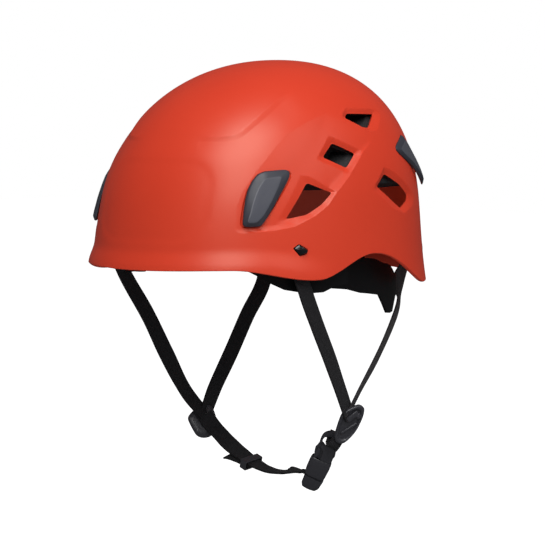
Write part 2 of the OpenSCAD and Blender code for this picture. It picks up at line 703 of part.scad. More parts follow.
// Straps from the hangers to the dividers: inside the shell, over its edge and straight down
function sided(k, p) = [p[0] * (k == 0 ? 1 : -1), p[1], p[2]];
function facing(v, w) = v * w < 0 ? -v : v;
function strap_route(k, hang, inset, leave, bow, mouth, end) = concat(
    [for (p = [hang + [0, strap_top], hang]) sided(k, side_point(p, inset))],
    [for (i = [0:3]) mix(leave[k], yoke_point(k, mouth[k]), i / 3) + [0, bow * sin(60 * i), 0]],
    [yoke_point(k, end[k])]);
function strap_across(k, hang, route, top, low) =
    let (n = len(route) - 1,
        flat = facing(cross(sided(k, side_normal(hang)), unit(route[2] - route[1])), top),
        last = facing(cross(yoke_out(k), unit(route[n] - route[n - 1])), low))
    [flat, flat, top, low, low, last, last];
function front_route(k) =
    strap_route(k, front_hanger, web_inset[0], front_leave, 0, front_mouth, front_end);
function rear_route(k) =
    strap_route(k, rear_hanger, web_inset[1], rear_leave, rear_bow[k], rear_mouth, rear_end);
function front_across(k) =
    strap_across(k, front_hanger, front_route(k), sided(k, front_wide[0]), front_wide[1]);
function rear_across(k) =
    strap_across(k, rear_hanger, rear_route(k), sided(k, rear_wide[0]), rear_wide[k]);

// Plate in its own frame: x across, y up along the divider, z outwards
module on_yoke(k) {
    framed(yoke_centre(k), yoke_across(k) * -1, yoke_axis[k] * -1, yoke_out(k)) children();
}
module yoke_outline(grow) {
    hull() {
        for (x = [-1, 1]) translate([x * yoke_top_span, yoke_half - yoke_top_r])
            circle(yoke_top_r + grow, $fn = 32);
        translate([0, -yoke_half + yoke_foot_r]) circle(yoke_foot_r + grow, $fn = 32);
    }
}
module yoke(k) {
    color("black") difference() {
        on_yoke(k) difference() {
            translate([0, 0, -yoke_t / 2]) linear_extrude(yoke_t) yoke_outline(0);
            translate([0, yoke_hole_y, -yoke_t]) cylinder(h = 2 * yoke_t, r = yoke_hole_r);
        }
        webbing(front_route(k), front_across(k), 4, web_t + 2 * slot_fit, web_width + 2 * slot_fit, slot_fit);
        webbing(rear_route(k), rear_across(k), 4, web_t + 2 * slot_fit, web_width + 2 * slot_fit, slot_fit);
        foot_web(k, slot_fit);
    }
}
module yoke_cap(k) {
    color("black") on_yoke(k) translate([0, 0, yoke_t / 2]) difference() {
        union() {
            linear_extrude(1.4) yoke_outline(-1.4);
            linear_extrude(2.8) difference() {
                yoke_outline(-1.4);
                yoke_outline(-3.4);
            }
            translate([0, 0, 1.2]) linear_extrude(1.8) hull() {
                translate([0, 3]) circle(2.6, $fn = 24);
                translate([0, -8]) circle(1.8, $fn = 24);
            }
        }
        translate([0, yoke_hole_y, -1]) cylinder(h = 8, r = yoke_hole_r);
    }
}
module yoke_left() { yoke(0); }
module yoke_right() { yoke(1); }
module yoke_cap_left() { yoke_cap(0); }
module yoke_cap_right() { yoke_cap(1); }

module strap(k, hang, route, across) {
    color("black") difference() {
        webbing(route, across);
        on_left_or_right(k == 1) hanger_hole(hang, 30, hanger_fit);
    }
}
module strap_front_left() { strap(0, front_hanger, front_route(0), front_across(0)); }
module strap_front_right() { strap(1, front_hanger, front_route(1), front_across(1)); }
module strap_rear_left() { strap(0, rear_hanger, rear_route(0), rear_across(0)); }
module strap_rear_right() { strap(1, rear_hanger, rear_route(1), rear_across(1)); }

// Buckle frame: x across, y outwards, z along the axis from the socket to the divider
buckle_out = square_to(buckle_face, buckle_axis);
buckle_across = cross(buckle_out, buckle_axis);
function buckle_point(x, y, z) = buckle_mouth + buckle_across * x + buckle_out * y + buckle_axis * z;
module on_buckle() {
    framed(buckle_mouth, buckle_across, buckle_out, buckle_axis) children();
}
// Profile in the plane of the buckle, with a thickness centred on it
module buckle_plate(t) {
    translate([0, t / 2, 0]) rotate([90, 0, 0]) linear_extrude(t) children();
}

// A short loop from the left divider through the ring of the buckle
module loop_web(grow) {
    bar = 2 + web_t / 2 + 0.3;
    foot = yoke_across(0) * -1;
    side = buckle_across * -1;
    webbing([yoke_point(0, [0, -yoke_half + 5, 0]), yoke_point(0, [0, -yoke_half - 1.5, 0]),
        buckle_point(0, bar + 0.6, 16.4), buckle_point(0, 0, ring_mid), buckle_point(0, -bar - 0.9, 20.8),
        buckle_point(0, -bar, 25.5)],
        [foot, foot, side, side, side, side], 4, web_t + 2 * grow, ring_hole[0] - 1.8 + 2 * grow, grow);
}
module buckle_loop() {
    color("black") loop_web(0);
}

module buckle_male() {
    ring_w = 16;
    color("black") on_buckle() difference() {
        buckle_plate(4) union() {
            rounded_box(-ring_w / 2, 9, ring_w / 2, 24.2, 4);
            translate([-2.2, 3]) square([4.4, 9]);
        }
        buckle_plate(10) rounded_box(-ring_hole[0] / 2, ring_mid - ring_hole[1] / 2, ring_hole[0] / 2,
            ring_mid + ring_hole[1] / 2, 1.8);
        for (x = [-1, 1]) translate([x * prong_pivot[0], 10, prong_pivot[1]]) rotate([90, 0, 0])
            cylinder(h = 20, r = prong_eye + pin_fit);
        for (x = [-1, 1]) translate([x * 6.5, 0, 5.6]) cube([4.2 + 2 * prong_fit, 10, 9], center = true);
    }
}

// A prong with a barb, hinged in the male half
prong_line = [[7.3, 11], [8.4, 7], [7.6, 3.6], [5.9, 0.6], [5.7, -2.2], [7.2, -7], [7.2, -10], [5.8, -12.4],
    [4.6, -12], [4.3, -7], [3.9, -2.2], [4.2, 0.6], [5.4, 3.6], [5.9, 7], [5, 9.5]];
module prong(side) {
    color("black") on_buckle() mirror([side > 0 ? 0 : 1, 0, 0]) union() {
        buckle_plate(prong_t) translate(prong_pivot) circle(prong_eye);
        buckle_plate(prong_t) polygon(prong_line);
    }
}
module prong_inner() { prong(1); }
module prong_outer() { prong(-1); }

module buckle_socket() {
    color("black") on_buckle() difference() {
        union() {
            translate([0, socket_t / 2, 0]) rotate([90, 0, 0]) linear_extrude(socket_t)
                rounded_box(-socket_w / 2, -socket_l, socket_w / 2, 0, 2.5);
            translate([0, 2.5, 0]) rotate([90, 0, 0]) linear_extrude(5)
                rounded_box(-socket_w / 2 + 0.5, -socket_l - tail_l, socket_w / 2 - 0.5, -socket_l + 3, 3);
        }
        translate([-mouth_half, -prong_t / 2 - prong_fit, -bridge_l - 1])
            cube([2 * mouth_half, prong_t + 2 * prong_fit, bridge_l + 8]);
        translate([-socket_w / 2 - 1, -prong_t / 2 - prong_fit, -14])
            cube([socket_w + 2, prong_t + 2 * prong_fit, 14 - bridge_l]);
        buckle_plate(20) rounded_box(-socket_w / 2 + 3, -socket_l - tail_l + 3,
            socket_w / 2 - 3, -socket_l - tail_l + 6.4, 1.2);
    }
}

// Chin strap, its folded end and the slider on it
chin_back = -socket_t / 2 - web_t / 2 - 0.5;
chin_route = [yoke_point(1, [0, -yoke_half + 5, 0]), yoke_point(1, [0, -yoke_half - 1, 0]), [-46, 11, -151.5],
    [-30, 5, -155], [-12, 2, -161.5], [1, 2, -165.5], [11, 8, -167.5], [17, 16, -167],
    buckle_point(9, chin_back - 7, -21), buckle_point(1, chin_back - 3, -19.5),
    buckle_point(-7, chin_back, -19)];
chin_across = [yoke_across(1), yoke_across(1), [0.1, 0.8, 0.5], [0, 0.9, 0.4], [0, 1, 0.2], [0, 1, 0.05],
    [-0.5, 0.8, 0], [-0.7, 0.5, -0.1], [-0.7, 0.2, -0.5], buckle_axis * -1, buckle_axis * -1];
module foot_web(k, grow) {
    if (k == 0) loop_web(grow);
    else webbing(chin_route, chin_across, 4, web_t + 2 * grow, web_width + 2 * grow, grow);
}
module chin_strap() {
    color("black") foot_web(1, 0);
}
function under_chin(t, down) =
    let (d = slope(chin_route, t), w = square_to([0, 1, 0.2], d))
    on_curve(chin_route, t) - cross(d, w) * down;
module chin_tail() {
    step = web_t + 0.55;
    last = 5;
    color("black") webbing([for (i = [0:last])
        under_chin(4.05 - 0.3 * i, step + pow(max(0, i - 2), 2) * 0.6)],
        [for (i = [0:last]) [0, 1 - 0.02 * i, 0.2 + 0.04 * i]], 4);
}
module strap_slider() {
    slider_at = 3.85;
    slider_l = 6.5;
    slider_side = 1.4;
    d = slope(chin_route, slider_at);
    w = square_to([0, 1, 0.2], d);
    color("black") framed(on_curve(chin_route, slider_at), w, d, cross(w, d)) difference() {
        translate([-web_width / 2 - slider_side, -slider_l / 2, -2.6])
            cube([web_width + 2 * slider_side, slider_l, 2 * web_t + 4.4]);
        translate([-web_width / 2 - 2 * slot_fit, -20, -web_t / 2 - 0.6])
            cube([web_width + 4 * slot_fit, 40, 2 * web_t + 2]);
    }
}

shell();
foam_liner();
clip_front_left();
clip_front_right();
clip_rear_left();
clip_rear_right();
hanger_front_left();
hanger_front_right();
hanger_rear_left();
hanger_rear_right();
brow_band();
brow_pad();
temple_rivet_left();
temple_rivet_right();
temple_swivel_left();
temple_swivel_right();
band_arm_left();
band_arm_right();
nape_plate();
ratchet_cover();
cover_screws();
wheel_axle();
ratchet_wheel();
drive_pinion();
click_spring();
strap_front_left();
strap_front_right();
strap_rear_left();
strap_rear_right();
yoke_left();
yoke_right();
yoke_cap_left();
yoke_cap_right();
buckle_loop();
buckle_male();
prong_inner();
prong_outer();
buckle_socket();
chin_strap();
chin_tail();
strap_slider();
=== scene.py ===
import math

import bmesh
import bpy
import numpy as np
from mathutils import Matrix, Vector


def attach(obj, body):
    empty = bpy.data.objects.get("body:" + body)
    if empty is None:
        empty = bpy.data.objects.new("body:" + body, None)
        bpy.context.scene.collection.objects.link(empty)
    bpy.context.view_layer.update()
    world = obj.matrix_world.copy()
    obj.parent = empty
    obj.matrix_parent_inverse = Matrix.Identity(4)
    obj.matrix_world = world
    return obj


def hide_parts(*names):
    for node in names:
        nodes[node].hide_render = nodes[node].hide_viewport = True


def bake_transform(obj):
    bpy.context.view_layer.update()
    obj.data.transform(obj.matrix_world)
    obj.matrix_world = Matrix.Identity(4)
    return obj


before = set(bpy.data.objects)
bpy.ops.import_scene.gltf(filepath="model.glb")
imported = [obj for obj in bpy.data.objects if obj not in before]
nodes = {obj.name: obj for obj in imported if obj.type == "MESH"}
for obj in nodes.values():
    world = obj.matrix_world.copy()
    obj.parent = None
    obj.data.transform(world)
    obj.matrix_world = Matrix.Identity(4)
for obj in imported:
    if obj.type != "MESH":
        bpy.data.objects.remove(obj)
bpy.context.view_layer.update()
scene = bpy.context.scene
scene.view_settings.view_transform = "Standard"
mm = 0.001  # shapes are in millimetres, the stage and the relief of materials in metres
print("frame loaded:", len(nodes), "nodes")


# node groups shared by the materials
def newGroup(name, inputs, outputs):
    group = bpy.data.node_groups.new(name, "ShaderNodeTree")
    for label, kind, value in inputs:
        socket = group.interface.new_socket(label, in_out="INPUT", socket_type=kind)
        if value is not None:
            socket.default_value = value
    for label in outputs:
        group.interface.new_socket(label, in_out="OUTPUT", socket_type="NodeSocketFloat")
    return group, group.nodes.new("NodeGroupInput"), group.nodes.new("NodeGroupOutput")


def mathNode(tree, kind, first, second=None, clamp=False):
    node = tree.nodes.new("ShaderNodeMath")
    node.operation = kind
    node.use_clamp = clamp
    for i, value in enumerate((first, second)):
        if value is None:
            continue
        if isinstance(value, (int, float)):
            node.inputs[i].default_value = value
        else:
            tree.links.new(value, node.inputs[i])
    return node.outputs[0]


def noiseNode(tree, vector, scale, detail, rough=0.5):
    node = tree.nodes.new("ShaderNodeTexNoise")
    tree.links.new(vector, node.inputs["Vector"])
    if isinstance(scale, (int, float)):
        node.inputs["Scale"].default_value = scale
    else:
        tree.links.new(scale, node.inputs["Scale"])
    node.inputs["Detail"].default_value = detail
    node.inputs["Roughness"].default_value = rough
    return node.outputs["Fac"]


# spark-eroded mould texture: a fine grain, broad clouds where the sheen changes, and rare scuffs
grainLook = {"grain": 2500.0, "cloud": 14.0, "streaks": 160.0, "scuffFrom": 0.62, "scuffGain": 6.0,
             "scuffSheen": 0.08, "relief": 0.0002}


def mouldGrainGroup():
    group, given, made = newGroup("mouldGrain", [
        ("Vector", "NodeSocketVector", None), ("Grain", "NodeSocketFloat", grainLook["grain"]),
        ("Cloud", "NodeSocketFloat", grainLook["cloud"])], ["Height", "Cloud", "Scuff"])
    where = given.outputs["Vector"]
    fine = noiseNode(group, where, given.outputs["Grain"], 2)
    cloud = noiseNode(group, where, given.outputs["Cloud"], 3)
    streak = noiseNode(group, where, grainLook["streaks"], 4, 0.7)
    over = mathNode(group, "SUBTRACT", streak, grainLook["scuffFrom"])
    rare = mathNode(group, "MULTIPLY", over, grainLook["scuffGain"], clamp=True)
    group.links.new(fine, made.inputs["Height"])
    group.links.new(cloud, made.inputs["Cloud"])
    group.links.new(rare, made.inputs["Scuff"])
    return group


# plain weave on a strap's own map, which is in millimetres along and across; its tone is painted shade in the
# furrows, where the weave is low, with random fuzz
weaveLook = {"pick": 1.1, "end": 1.3, "furrow": 0.6, "fuzz": 0.35, "furrowShade": 0.6, "fuzzTone": 0.5,
             "rough": 0.78, "gloss": 0.2, "sheen": 0.04, "strength": 0.7, "relief": 0.0004}


def webWeaveGroup():
    group, given, made = newGroup("webWeave", [
        ("Vector", "NodeSocketVector", None), ("Pick", "NodeSocketFloat", weaveLook["pick"]),
        ("End", "NodeSocketFloat", weaveLook["end"])], ["Height", "ShadeAndTone"])

    def arch(turns):
        wave = mathNode(group, "SINE", mathNode(group, "MULTIPLY", turns, math.pi))
        return mathNode(group, "ABSOLUTE", wave)

    split = group.nodes.new("ShaderNodeSeparateXYZ")
    group.links.new(given.outputs["Vector"], split.inputs[0])
    along = mathNode(group, "DIVIDE", split.outputs[0], given.outputs["Pick"])
    across = mathNode(group, "DIVIDE", split.outputs[1], given.outputs["End"])
    column = mathNode(group, "MULTIPLY", mathNode(group, "FLOOR", across), 0.5)
    rib = arch(mathNode(group, "ADD", along, column))
    furrow = mathNode(group, "POWER", arch(across), weaveLook["furrow"])
    height = mathNode(group, "MULTIPLY", rib, furrow)
    fuzz = noiseNode(group, given.outputs["Vector"], weaveLook["fuzz"], 3)
    # painted shade: the colour is darker where the weave is low, plus random fuzz
    tone = mathNode(group, "ADD", mathNode(group, "MULTIPLY", height, weaveLook["furrowShade"]),
                    mathNode(group, "MULTIPLY", fuzz, weaveLook["fuzzTone"]))
    group.links.new(height, made.inputs["Height"])
    group.links.new(tone, made.inputs["ShadeAndTone"])
    return group


# fused beads of the crown foam, and in a smaller size the knit of the pad; their tone is painted shade in the
# seams between beads, in random patches
beadLook = {"beads": 330.0, "swell": 2.2, "dome": 0.5, "patches": 55.0}


def beadFoamGroup():
    group, given, made = newGroup("beadFoam", [
        ("Vector", "NodeSocketVector", None), ("Beads", "NodeSocketFloat", beadLook["beads"])],
        ["Height", "ShadeAndTone"])
    cell = group.nodes.new("ShaderNodeTexVoronoi")
    cell.feature = "DISTANCE_TO_EDGE"
    group.links.new(given.outputs["Vector"], cell.inputs["Vector"])
    group.links.new(given.outputs["Beads"], cell.inputs["Scale"])
    swell = mathNode(group, "MULTIPLY", cell.outputs["Distance"], beadLook["swell"], clamp=True)
    bulge = mathNode(group, "POWER", swell, beadLook["dome"])
    patch = noiseNode(group, given.outputs["Vector"], beadLook["patches"], 2)
    group.links.new(bulge, made.inputs["Height"])
    # painted shade: dark where beads meet, light on their domes, in random patches
    group.links.new(mathNode(group, "MULTIPLY", bulge, patch), made.inputs["ShadeAndTone"])
    return group


mouldGrain = mouldGrainGroup()
webWeave = webWeaveGroup()
beadFoam = beadFoamGroup()


def newMaterial(name, coords="Object"):
    material = bpy.data.materials.new(name)
    material.use_nodes = True
    tree = material.node_tree
    shader = tree.nodes["Principled BSDF"]
    where = tree.nodes.new("ShaderNodeTexCoord").outputs[coords]
    return material, tree, shader, where


def placeGroup(tree, group, where, **values):
    node = tree.nodes.new("ShaderNodeGroup")
    node.node_tree = group
    tree.links.new(where, node.inputs["Vector"])
    for label, value in values.items():
        node.inputs[label].default_value = value
    return node


def blendColour(tree, shader, mask, low, high):
    ramp = tree.nodes.new("ShaderNodeValToRGB")
    ramp.color_ramp.elements[0].color = (*low, 1)
    ramp.color_ramp.elements[1].color = (*high, 1)
    tree.links.new(mask, ramp.inputs["Fac"])
    tree.links.new(ramp.outputs["Color"], shader.inputs["Base Color"])


def spread(tree, value, low, high):
    node = tree.nodes.new("ShaderNodeMapRange")
    tree.links.new(value, node.inputs["Value"])
    node.inputs["To Min"].default_value = low
    node.inputs["To Max"].default_value = high
    return node.outputs["Result"]


def addBump(tree, shader, height, strength, distance):
    bump = tree.nodes.new("ShaderNodeBump")
    bump.inputs["Strength"].default_value = strength
    bump.inputs["Distance"].default_value = distance
    tree.links.new(height, bump.inputs["Height"])
    tree.links.new(bump.outputs["Normal"], shader.inputs["Normal"])


def mouldedPlastic(name, low, high, rough, grain=grainLook["grain"], strength=0.12, gloss=0.5,
                   tint=(1, 1, 1)):
    material, tree, shader, where = newMaterial(name)
    grainNode = placeGroup(tree, mouldGrain, where, Grain=grain)
    blendColour(tree, shader, grainNode.outputs["Cloud"], low, high)
    scuff = mathNode(tree, "MULTIPLY", grainNode.outputs["Scuff"], grainLook["scuffSheen"])
    sheen = mathNode(tree, "ADD", spread(tree, grainNode.outputs["Cloud"], *rough), scuff)
    tree.links.new(sheen, shader.inputs["Roughness"])
    shader.inputs["Specular IOR Level"].default_value = gloss
    shader.inputs["Specular Tint"].default_value = (*tint, 1)
    addBump(tree, shader, grainNode.outputs["Height"], strength, grainLook["relief"])
    return material


# each plastic has the dark and the light of its clouds, and the range of its roughness
shellPlastic = mouldedPlastic("shellPlastic", (0.69, 0.0395, 0.0122), (0.73, 0.046, 0.0147), (0.37, 0.44),
                              grain=3200.0, strength=0.06, gloss=0.62, tint=(1, 0.95, 0.8))
clipPlastic = mouldedPlastic("clipPlastic", (0.068, 0.071, 0.088), (0.082, 0.085, 0.106), (0.3, 0.38),
                             grain=2600.0, strength=0.08)
# the clip's back, sides and bevel take a darker copy of its plastic: painted shade on the bevel
clipEdgeShaded = mouldedPlastic("clipEdgeShaded", (0.036, 0.038, 0.05), (0.046, 0.048, 0.062), (0.34, 0.44),
                          grain=2600.0, strength=0.08, gloss=0.4)
hangerPlastic = mouldedPlastic("hangerPlastic", (0.005, 0.005, 0.006), (0.009, 0.009, 0.01), (0.12, 0.2),
                               grain=1500.0, strength=0.03)
bandPlastic = mouldedPlastic("bandPlastic", (0.004, 0.004, 0.005), (0.008, 0.008, 0.009), (0.36, 0.46),
                             grain=1800.0, strength=0.15, gloss=0.3)
bucklePlastic = mouldedPlastic("bucklePlastic", (0.036, 0.036, 0.043), (0.049, 0.049, 0.058), (0.26, 0.36),
                               grain=2200.0)
pinionPlastic = mouldedPlastic("pinionPlastic", (0.62, 0.61, 0.57), (0.7, 0.69, 0.65), (0.4, 0.5))


def steelMaterial(name, low, high, rough, grain, strength):
    material, tree, shader, where = newMaterial(name)
    grainNode = placeGroup(tree, mouldGrain, where, Grain=grain)
    blendColour(tree, shader, grainNode.outputs["Cloud"], low, high)
    shader.inputs["Metallic"].default_value = 1.0
    tree.links.new(spread(tree, grainNode.outputs["Height"], *rough), shader.inputs["Roughness"])
    addBump(tree, shader, grainNode.outputs["Height"], strength, grainLook["relief"])
    return material


def webbingMaterial(name, low, high):
    material, tree, shader, where = newMaterial(name, "UV")
    weave = placeGroup(tree, webWeave, where)
    # colour from the weave's painted shade and random fuzz
    blendColour(tree, shader, weave.outputs["ShadeAndTone"], low, high)
    shader.inputs["Roughness"].default_value = weaveLook["rough"]
    shader.inputs["Specular IOR Level"].default_value = weaveLook["gloss"]
    shader.inputs["Sheen Weight"].default_value = weaveLook["sheen"]
    addBump(tree, shader, weave.outputs["Height"], weaveLook["strength"], weaveLook["relief"])
    return material


def beadMaterial(name, low, high, beads, rough, sheen, strength, relief):
    material, tree, shader, where = newMaterial(name)
    cells = placeGroup(tree, beadFoam, where, Beads=beads)
    # colour from the beads' painted shade in random patches
    blendColour(tree, shader, cells.outputs["ShadeAndTone"], low, high)
    shader.inputs["Roughness"].default_value = rough
    shader.inputs["Sheen Weight"].default_value = sheen
    addBump(tree, shader, cells.outputs["Height"], strength, relief)
    return material


turnedSteel = steelMaterial("turnedSteel", (0.5, 0.5, 0.51), (0.6, 0.6, 0.61), (0.28, 0.42),
                            grain=900.0, strength=0.08)
blackWeb = webbingMaterial("blackWeb", (0.007, 0.007, 0.0085), (0.029, 0.0275, 0.031))
greyWeb = webbingMaterial("greyWeb", (0.02, 0.018, 0.02), (0.075, 0.068, 0.072))
crownFoam = beadMaterial("crownFoam", (0.008, 0.008, 0.009), (0.035, 0.035, 0.038), beads=beadLook["beads"],
                         rough=0.75, sheen=0, strength=0.5, relief=0.0004)
padKnit = beadMaterial("padKnit", (0.012, 0.012, 0.014), (0.04, 0.04, 0.044), beads=620.0,
                       rough=0.85, sheen=0.3, strength=0.6, relief=0.0005)
print("materials made")


# the shell's surface, the same curves as the frame's
shellForm = {
    "halfWidth": 109, "frontReach": 146, "backReach": 136, "crown": 153, "wall": 3,
    "flare": 0.02, "brimHeight": 45, "lean": 17, "roundness": 2.134,
    "sideCurve": (2.84, 2.19), "frontCurve": (2.41, 2.09), "backCurve": (2.63, 2.1),
    "rim": [(0, 0), (36, 1), (65, -7.5), (87, 9), (122, -18), (180, -12)],
}


def ease(t):
    t = np.clip(t, 0, 1)
    return t * t * (3 - 2 * t)


def easeOver(x, start, end):
    return ease((x - start) / (end - start))


def smoothRun(table, x):
    out = np.full(np.shape(x), float(table[0][1]))
    for (a, low), (b, high) in zip(table, table[1:]):
        out = out + (high - low) * easeOver(x, a, b)
    return out


def fall(t, curve):
    return np.maximum(0, 1 - t ** curve[0]) ** (1 / curve[1])


def flareAt(z):
    return 1 + shellForm["flare"] * np.clip(1 - z / shellForm["brimHeight"], 0, 2) ** 2


def reachAt(t, ahead, inset):
    front = (shellForm["frontReach"] - inset) * fall(t, shellForm["frontCurve"])
    back = (shellForm["backReach"] - inset) * fall(t, shellForm["backCurve"])
    return np.where(ahead, front, back)


def domePoint(angle, z, inset):
    t = np.clip(z / (shellForm["crown"] - inset), 0, 1)
    power = 2 / shellForm["roundness"]
    ahead = np.cos(angle) > 0
    side = (shellForm["halfWidth"] - inset) * fall(t, shellForm["sideCurve"]) * flareAt(z)
    x = side * np.sign(np.sin(angle)) * np.abs(np.sin(angle)) ** power
    y = reachAt(t, ahead, inset) * flareAt(z) * np.abs(np.cos(angle)) ** power
    return np.stack([x, np.where(ahead, -y, y) + shellForm["lean"] * t * t, z], -1)


def sidePoint(y, z, inset):
    t = np.clip(z / (shellForm["crown"] - inset), 0, 1)
    run = y - shellForm["lean"] * t * t
    reach = reachAt(t, run < 0, inset) * flareAt(z)
    n = shellForm["roundness"]
    half = (shellForm["halfWidth"] - inset) * fall(t, shellForm["sideCurve"]) * flareAt(z)
    x = half * np.maximum(0, 1 - np.minimum(1, np.abs(run) / reach) ** n) ** (1 / n)
    return np.stack([x, y, z], -1)


# distances in the side view, for what is pressed into the shell
def toLine(points, line, closed=False):
    line = np.array(line, float)
    ends = np.roll(line, -1, 0) if closed else line[1:]
    best = np.full(len(points), 1e9)
    for a, b in zip(line, ends):
        run = b - a
        t = np.clip(((points - a) @ run) / (run @ run), 0, 1)
        best = np.minimum(best, np.linalg.norm(points - a - t[:, None] * run, axis=1))
    return best


def within(points, loop):
    loop = np.array(loop, float)
    mask = np.zeros(len(points), bool)
    for a, b in zip(loop, np.roll(loop, -1, 0)):
        if a[1] == b[1]:
            continue
        over = (points[:, 1] > a[1]) != (points[:, 1] > b[1])
        mask ^= over & (points[:, 0] < a[0] + (points[:, 1] - a[1]) * (b[0] - a[0]) / (b[1] - a[1]))
    return mask


# vents in the side view: the hole, the edge of the dished pocket round it, and how deep that is
vents = [
    {"hole": [(-11.4, 109.5), (-6.4, 112.7), (27.4, 112.2), (11.2, 101.7), (4.6, 102.4)],
     "lip": [(-17, 109.5), (-6, 116), (33, 115), (37, 111), (20, 99.5), (10, 98)], "depth": 1.9},
    {"hole": [(-46, 81.6), (-34, 91.6), (-14.2, 83.2), (-26.4, 72.8)],
     "lip": [(-53.5, 79.5), (-36, 96.5), (-7.5, 84.2), (-27.5, 68.2)], "depth": 2.0},
    {"hole": [(-86, 36.6), (-65.5, 62.8), (-46, 55), (-56.5, 46.4), (-70, 39.3)],
     "lip": [(-94.5, 32.5), (-69.5, 68.5), (-62.5, 67), (-43.5, 55.5), (-53, 45.8), (-66, 38), (-81, 32.2)],
     "depth": 1.2},
    {"hole": [(3, 57.8), (15.6, 67), (37, 58.6), (50.5, 50.2), (48.5, 45.8), (35, 40.6), (25.3, 45.2)],
     "lip": [(-4.5, 55.6), (14.3, 72), (27, 68.5), (64, 49.5), (59, 42), (38, 36.5), (20, 40.8)],
     "depth": 2.0},
]
ventLook = {"corner": 2.2, "undercut": 2.2, "soften": 0.04}

# the plugs that hold the straps come through the shell here
hangers = {"outline": [(-5.6, 1.4), (-1.4, 4.2), (5, 0.2), (3.8, -2.6), (-1.4, -4)],
           "at": [(-78.3, 14), (97, 8)], "fit": 0.35, "corner": 0.8, "cornerSteps": 2, "undercut": 0.2}

# each side has a panel sunk between a fold above and a ledge below
scoop = {
    "fold": [(-118, 29), (-114.8, 46), (-109, 57.5), (-102, 66.6), (-91.4, 77.9), (-79.9, 88.5),
             (-68.5, 97.1), (-59.1, 101.4), (-48.9, 105.7), (-30, 112)],
    "ledge": [(-118, 29), (-115.6, 27.2), (-107.5, 27.2), (-95.2, 28.4), (-81.2, 31), (-65, 38),
              (-52.9, 45.4), (-43.5, 54.5), (-30.5, 64.8), (-19.4, 74), (-7.8, 83.4), (8, 92)],
    "foldSlope": 0.17, "ledgeSlope": [(-108, 1.0), (-82, 0.62)], "endSlope": 0.09, "power": 8,
    "depth": [(-118, 1.5), (-95, 2.1), (-70, 3.2), (-45, 3.2), (-8, 1.0), (8, 0)],
}
# above the fold a strip leans up, below the edge of the raised crown band
strip = {
    "band": [(-118, 87), (-113, 94.4), (-107, 94.6), (-101, 95.4), (-95.6, 97.6), (-85.5, 104.8),
             (-72, 113.6), (-58.5, 121.4), (-46, 127)],
    "depth": 1.1, "start": (-119, -103), "fade": (-62, -42), "rise": (60, 90), "blend": 2.2, "crease": 1.2,
}
crownBand = {"half": 60, "front": -112, "corner": 26, "blend": 6, "fade": (-70, -30), "rise": (72, 92),
             "step": 0.22, "settle": 30, "settled": 0.5}
browPanel = {"half": 50, "low": 20, "high": 78, "corner": 22, "blend": 3, "depth": 0.35}
brimTurn = {"height": 15, "out": 3.0, "back": (-45, -95)}
clipSeat = {"margin": 0.6, "depth": 1.1, "wall": 0.8}
tiny = 1e-6  # keeps a division off zero


def offsetLoop(loop, distance):
    p = np.array(loop, float)
    ahead = np.roll(p, -1, 0) - p
    ahead = ahead / np.linalg.norm(ahead, axis=1)[:, None]
    area = np.sum(p[:, 0] * np.roll(p[:, 1], -1) - p[:, 1] * np.roll(p[:, 0], -1))
    out = np.stack([ahead[:, 1], -ahead[:, 0]], -1) * np.sign(area)
    before = np.roll(out, 1, 0)
    return p + distance * (out + before) / (1 + np.sum(out * before, axis=1))[:, None]


def roundLoop(loop, radius, steps=3):
    p = np.array(loop, float)
    points = []
    for a, b, c in zip(np.roll(p, 1, 0), p, np.roll(p, -1, 0)):
        start = b + (a - b) / np.linalg.norm(a - b) * radius
        end = b + (c - b) / np.linalg.norm(c - b) * radius
        for i in range(steps + 1):
            s = i / steps
            points.append((1 - s) ** 2 * start + 2 * s * (1 - s) * b + s * s * end)
    return np.array(points)


def softRamp(t):
    t = np.clip(t, 0, 1)
    return t - ventLook["soften"] * np.sin(2 * math.pi * t)


def pocketDepth(yz):
    depth = np.zeros(len(yz))
    for vent in vents:
        near = within(yz, vent["lip"])
        p = yz[near]
        outer = toLine(p, vent["lip"], True)
        inner = np.where(within(p, vent["hole"]), 0, toLine(p, vent["hole"], True))
        depth[near] = vent["depth"] * softRamp(outer / (outer + inner + tiny))
    return depth


# the least of four slopes, with soft corners between them
def scoopDepth(yz):
    depth = np.zeros(len(yz))
    near = within(yz, scoop["fold"] + scoop["ledge"][::-1])
    p = yz[near]
    sides = [toLine(p, scoop["ledge"]) * np.interp(p[:, 0], *zip(*scoop["ledgeSlope"])),
             toLine(p, scoop["fold"]) * scoop["foldSlope"],
             toLine(p, [scoop["fold"][-1], scoop["ledge"][-1]]) * scoop["endSlope"],
             np.interp(p[:, 0], *zip(*scoop["depth"]))]
    power = scoop["power"]
    depth[near] = np.sum([np.maximum(s, 1e-4) ** -power for s in sides], axis=0) ** (-1 / power)
    return depth


def stripDepth(yz):
    depth = np.zeros(len(yz))
    near = within(yz, scoop["fold"] + strip["band"][::-1])
    p = yz[near]
    fold, band = toLine(p, scoop["fold"]), toLine(p, strip["band"])
    depth[near] = (strip["depth"] * fold / (fold + band + tiny) * ease(band / strip["blend"])
                   * easeOver(p[:, 0], *strip["start"]) * (1 - easeOver(p[:, 0], *strip["fade"])))
    return depth * easeOver(yz[:, 1], *strip["rise"])


def seatDepth(yz):
    depth = np.zeros(len(yz))
    for which in ("front", "rear"):
        loop = offsetLoop(clipLook[which]["outline"], clipSeat["margin"])
        near = within(yz, loop)
        depth[near] = clipSeat["depth"] * ease(toLine(yz[near], loop, True) / clipSeat["wall"])
    return depth


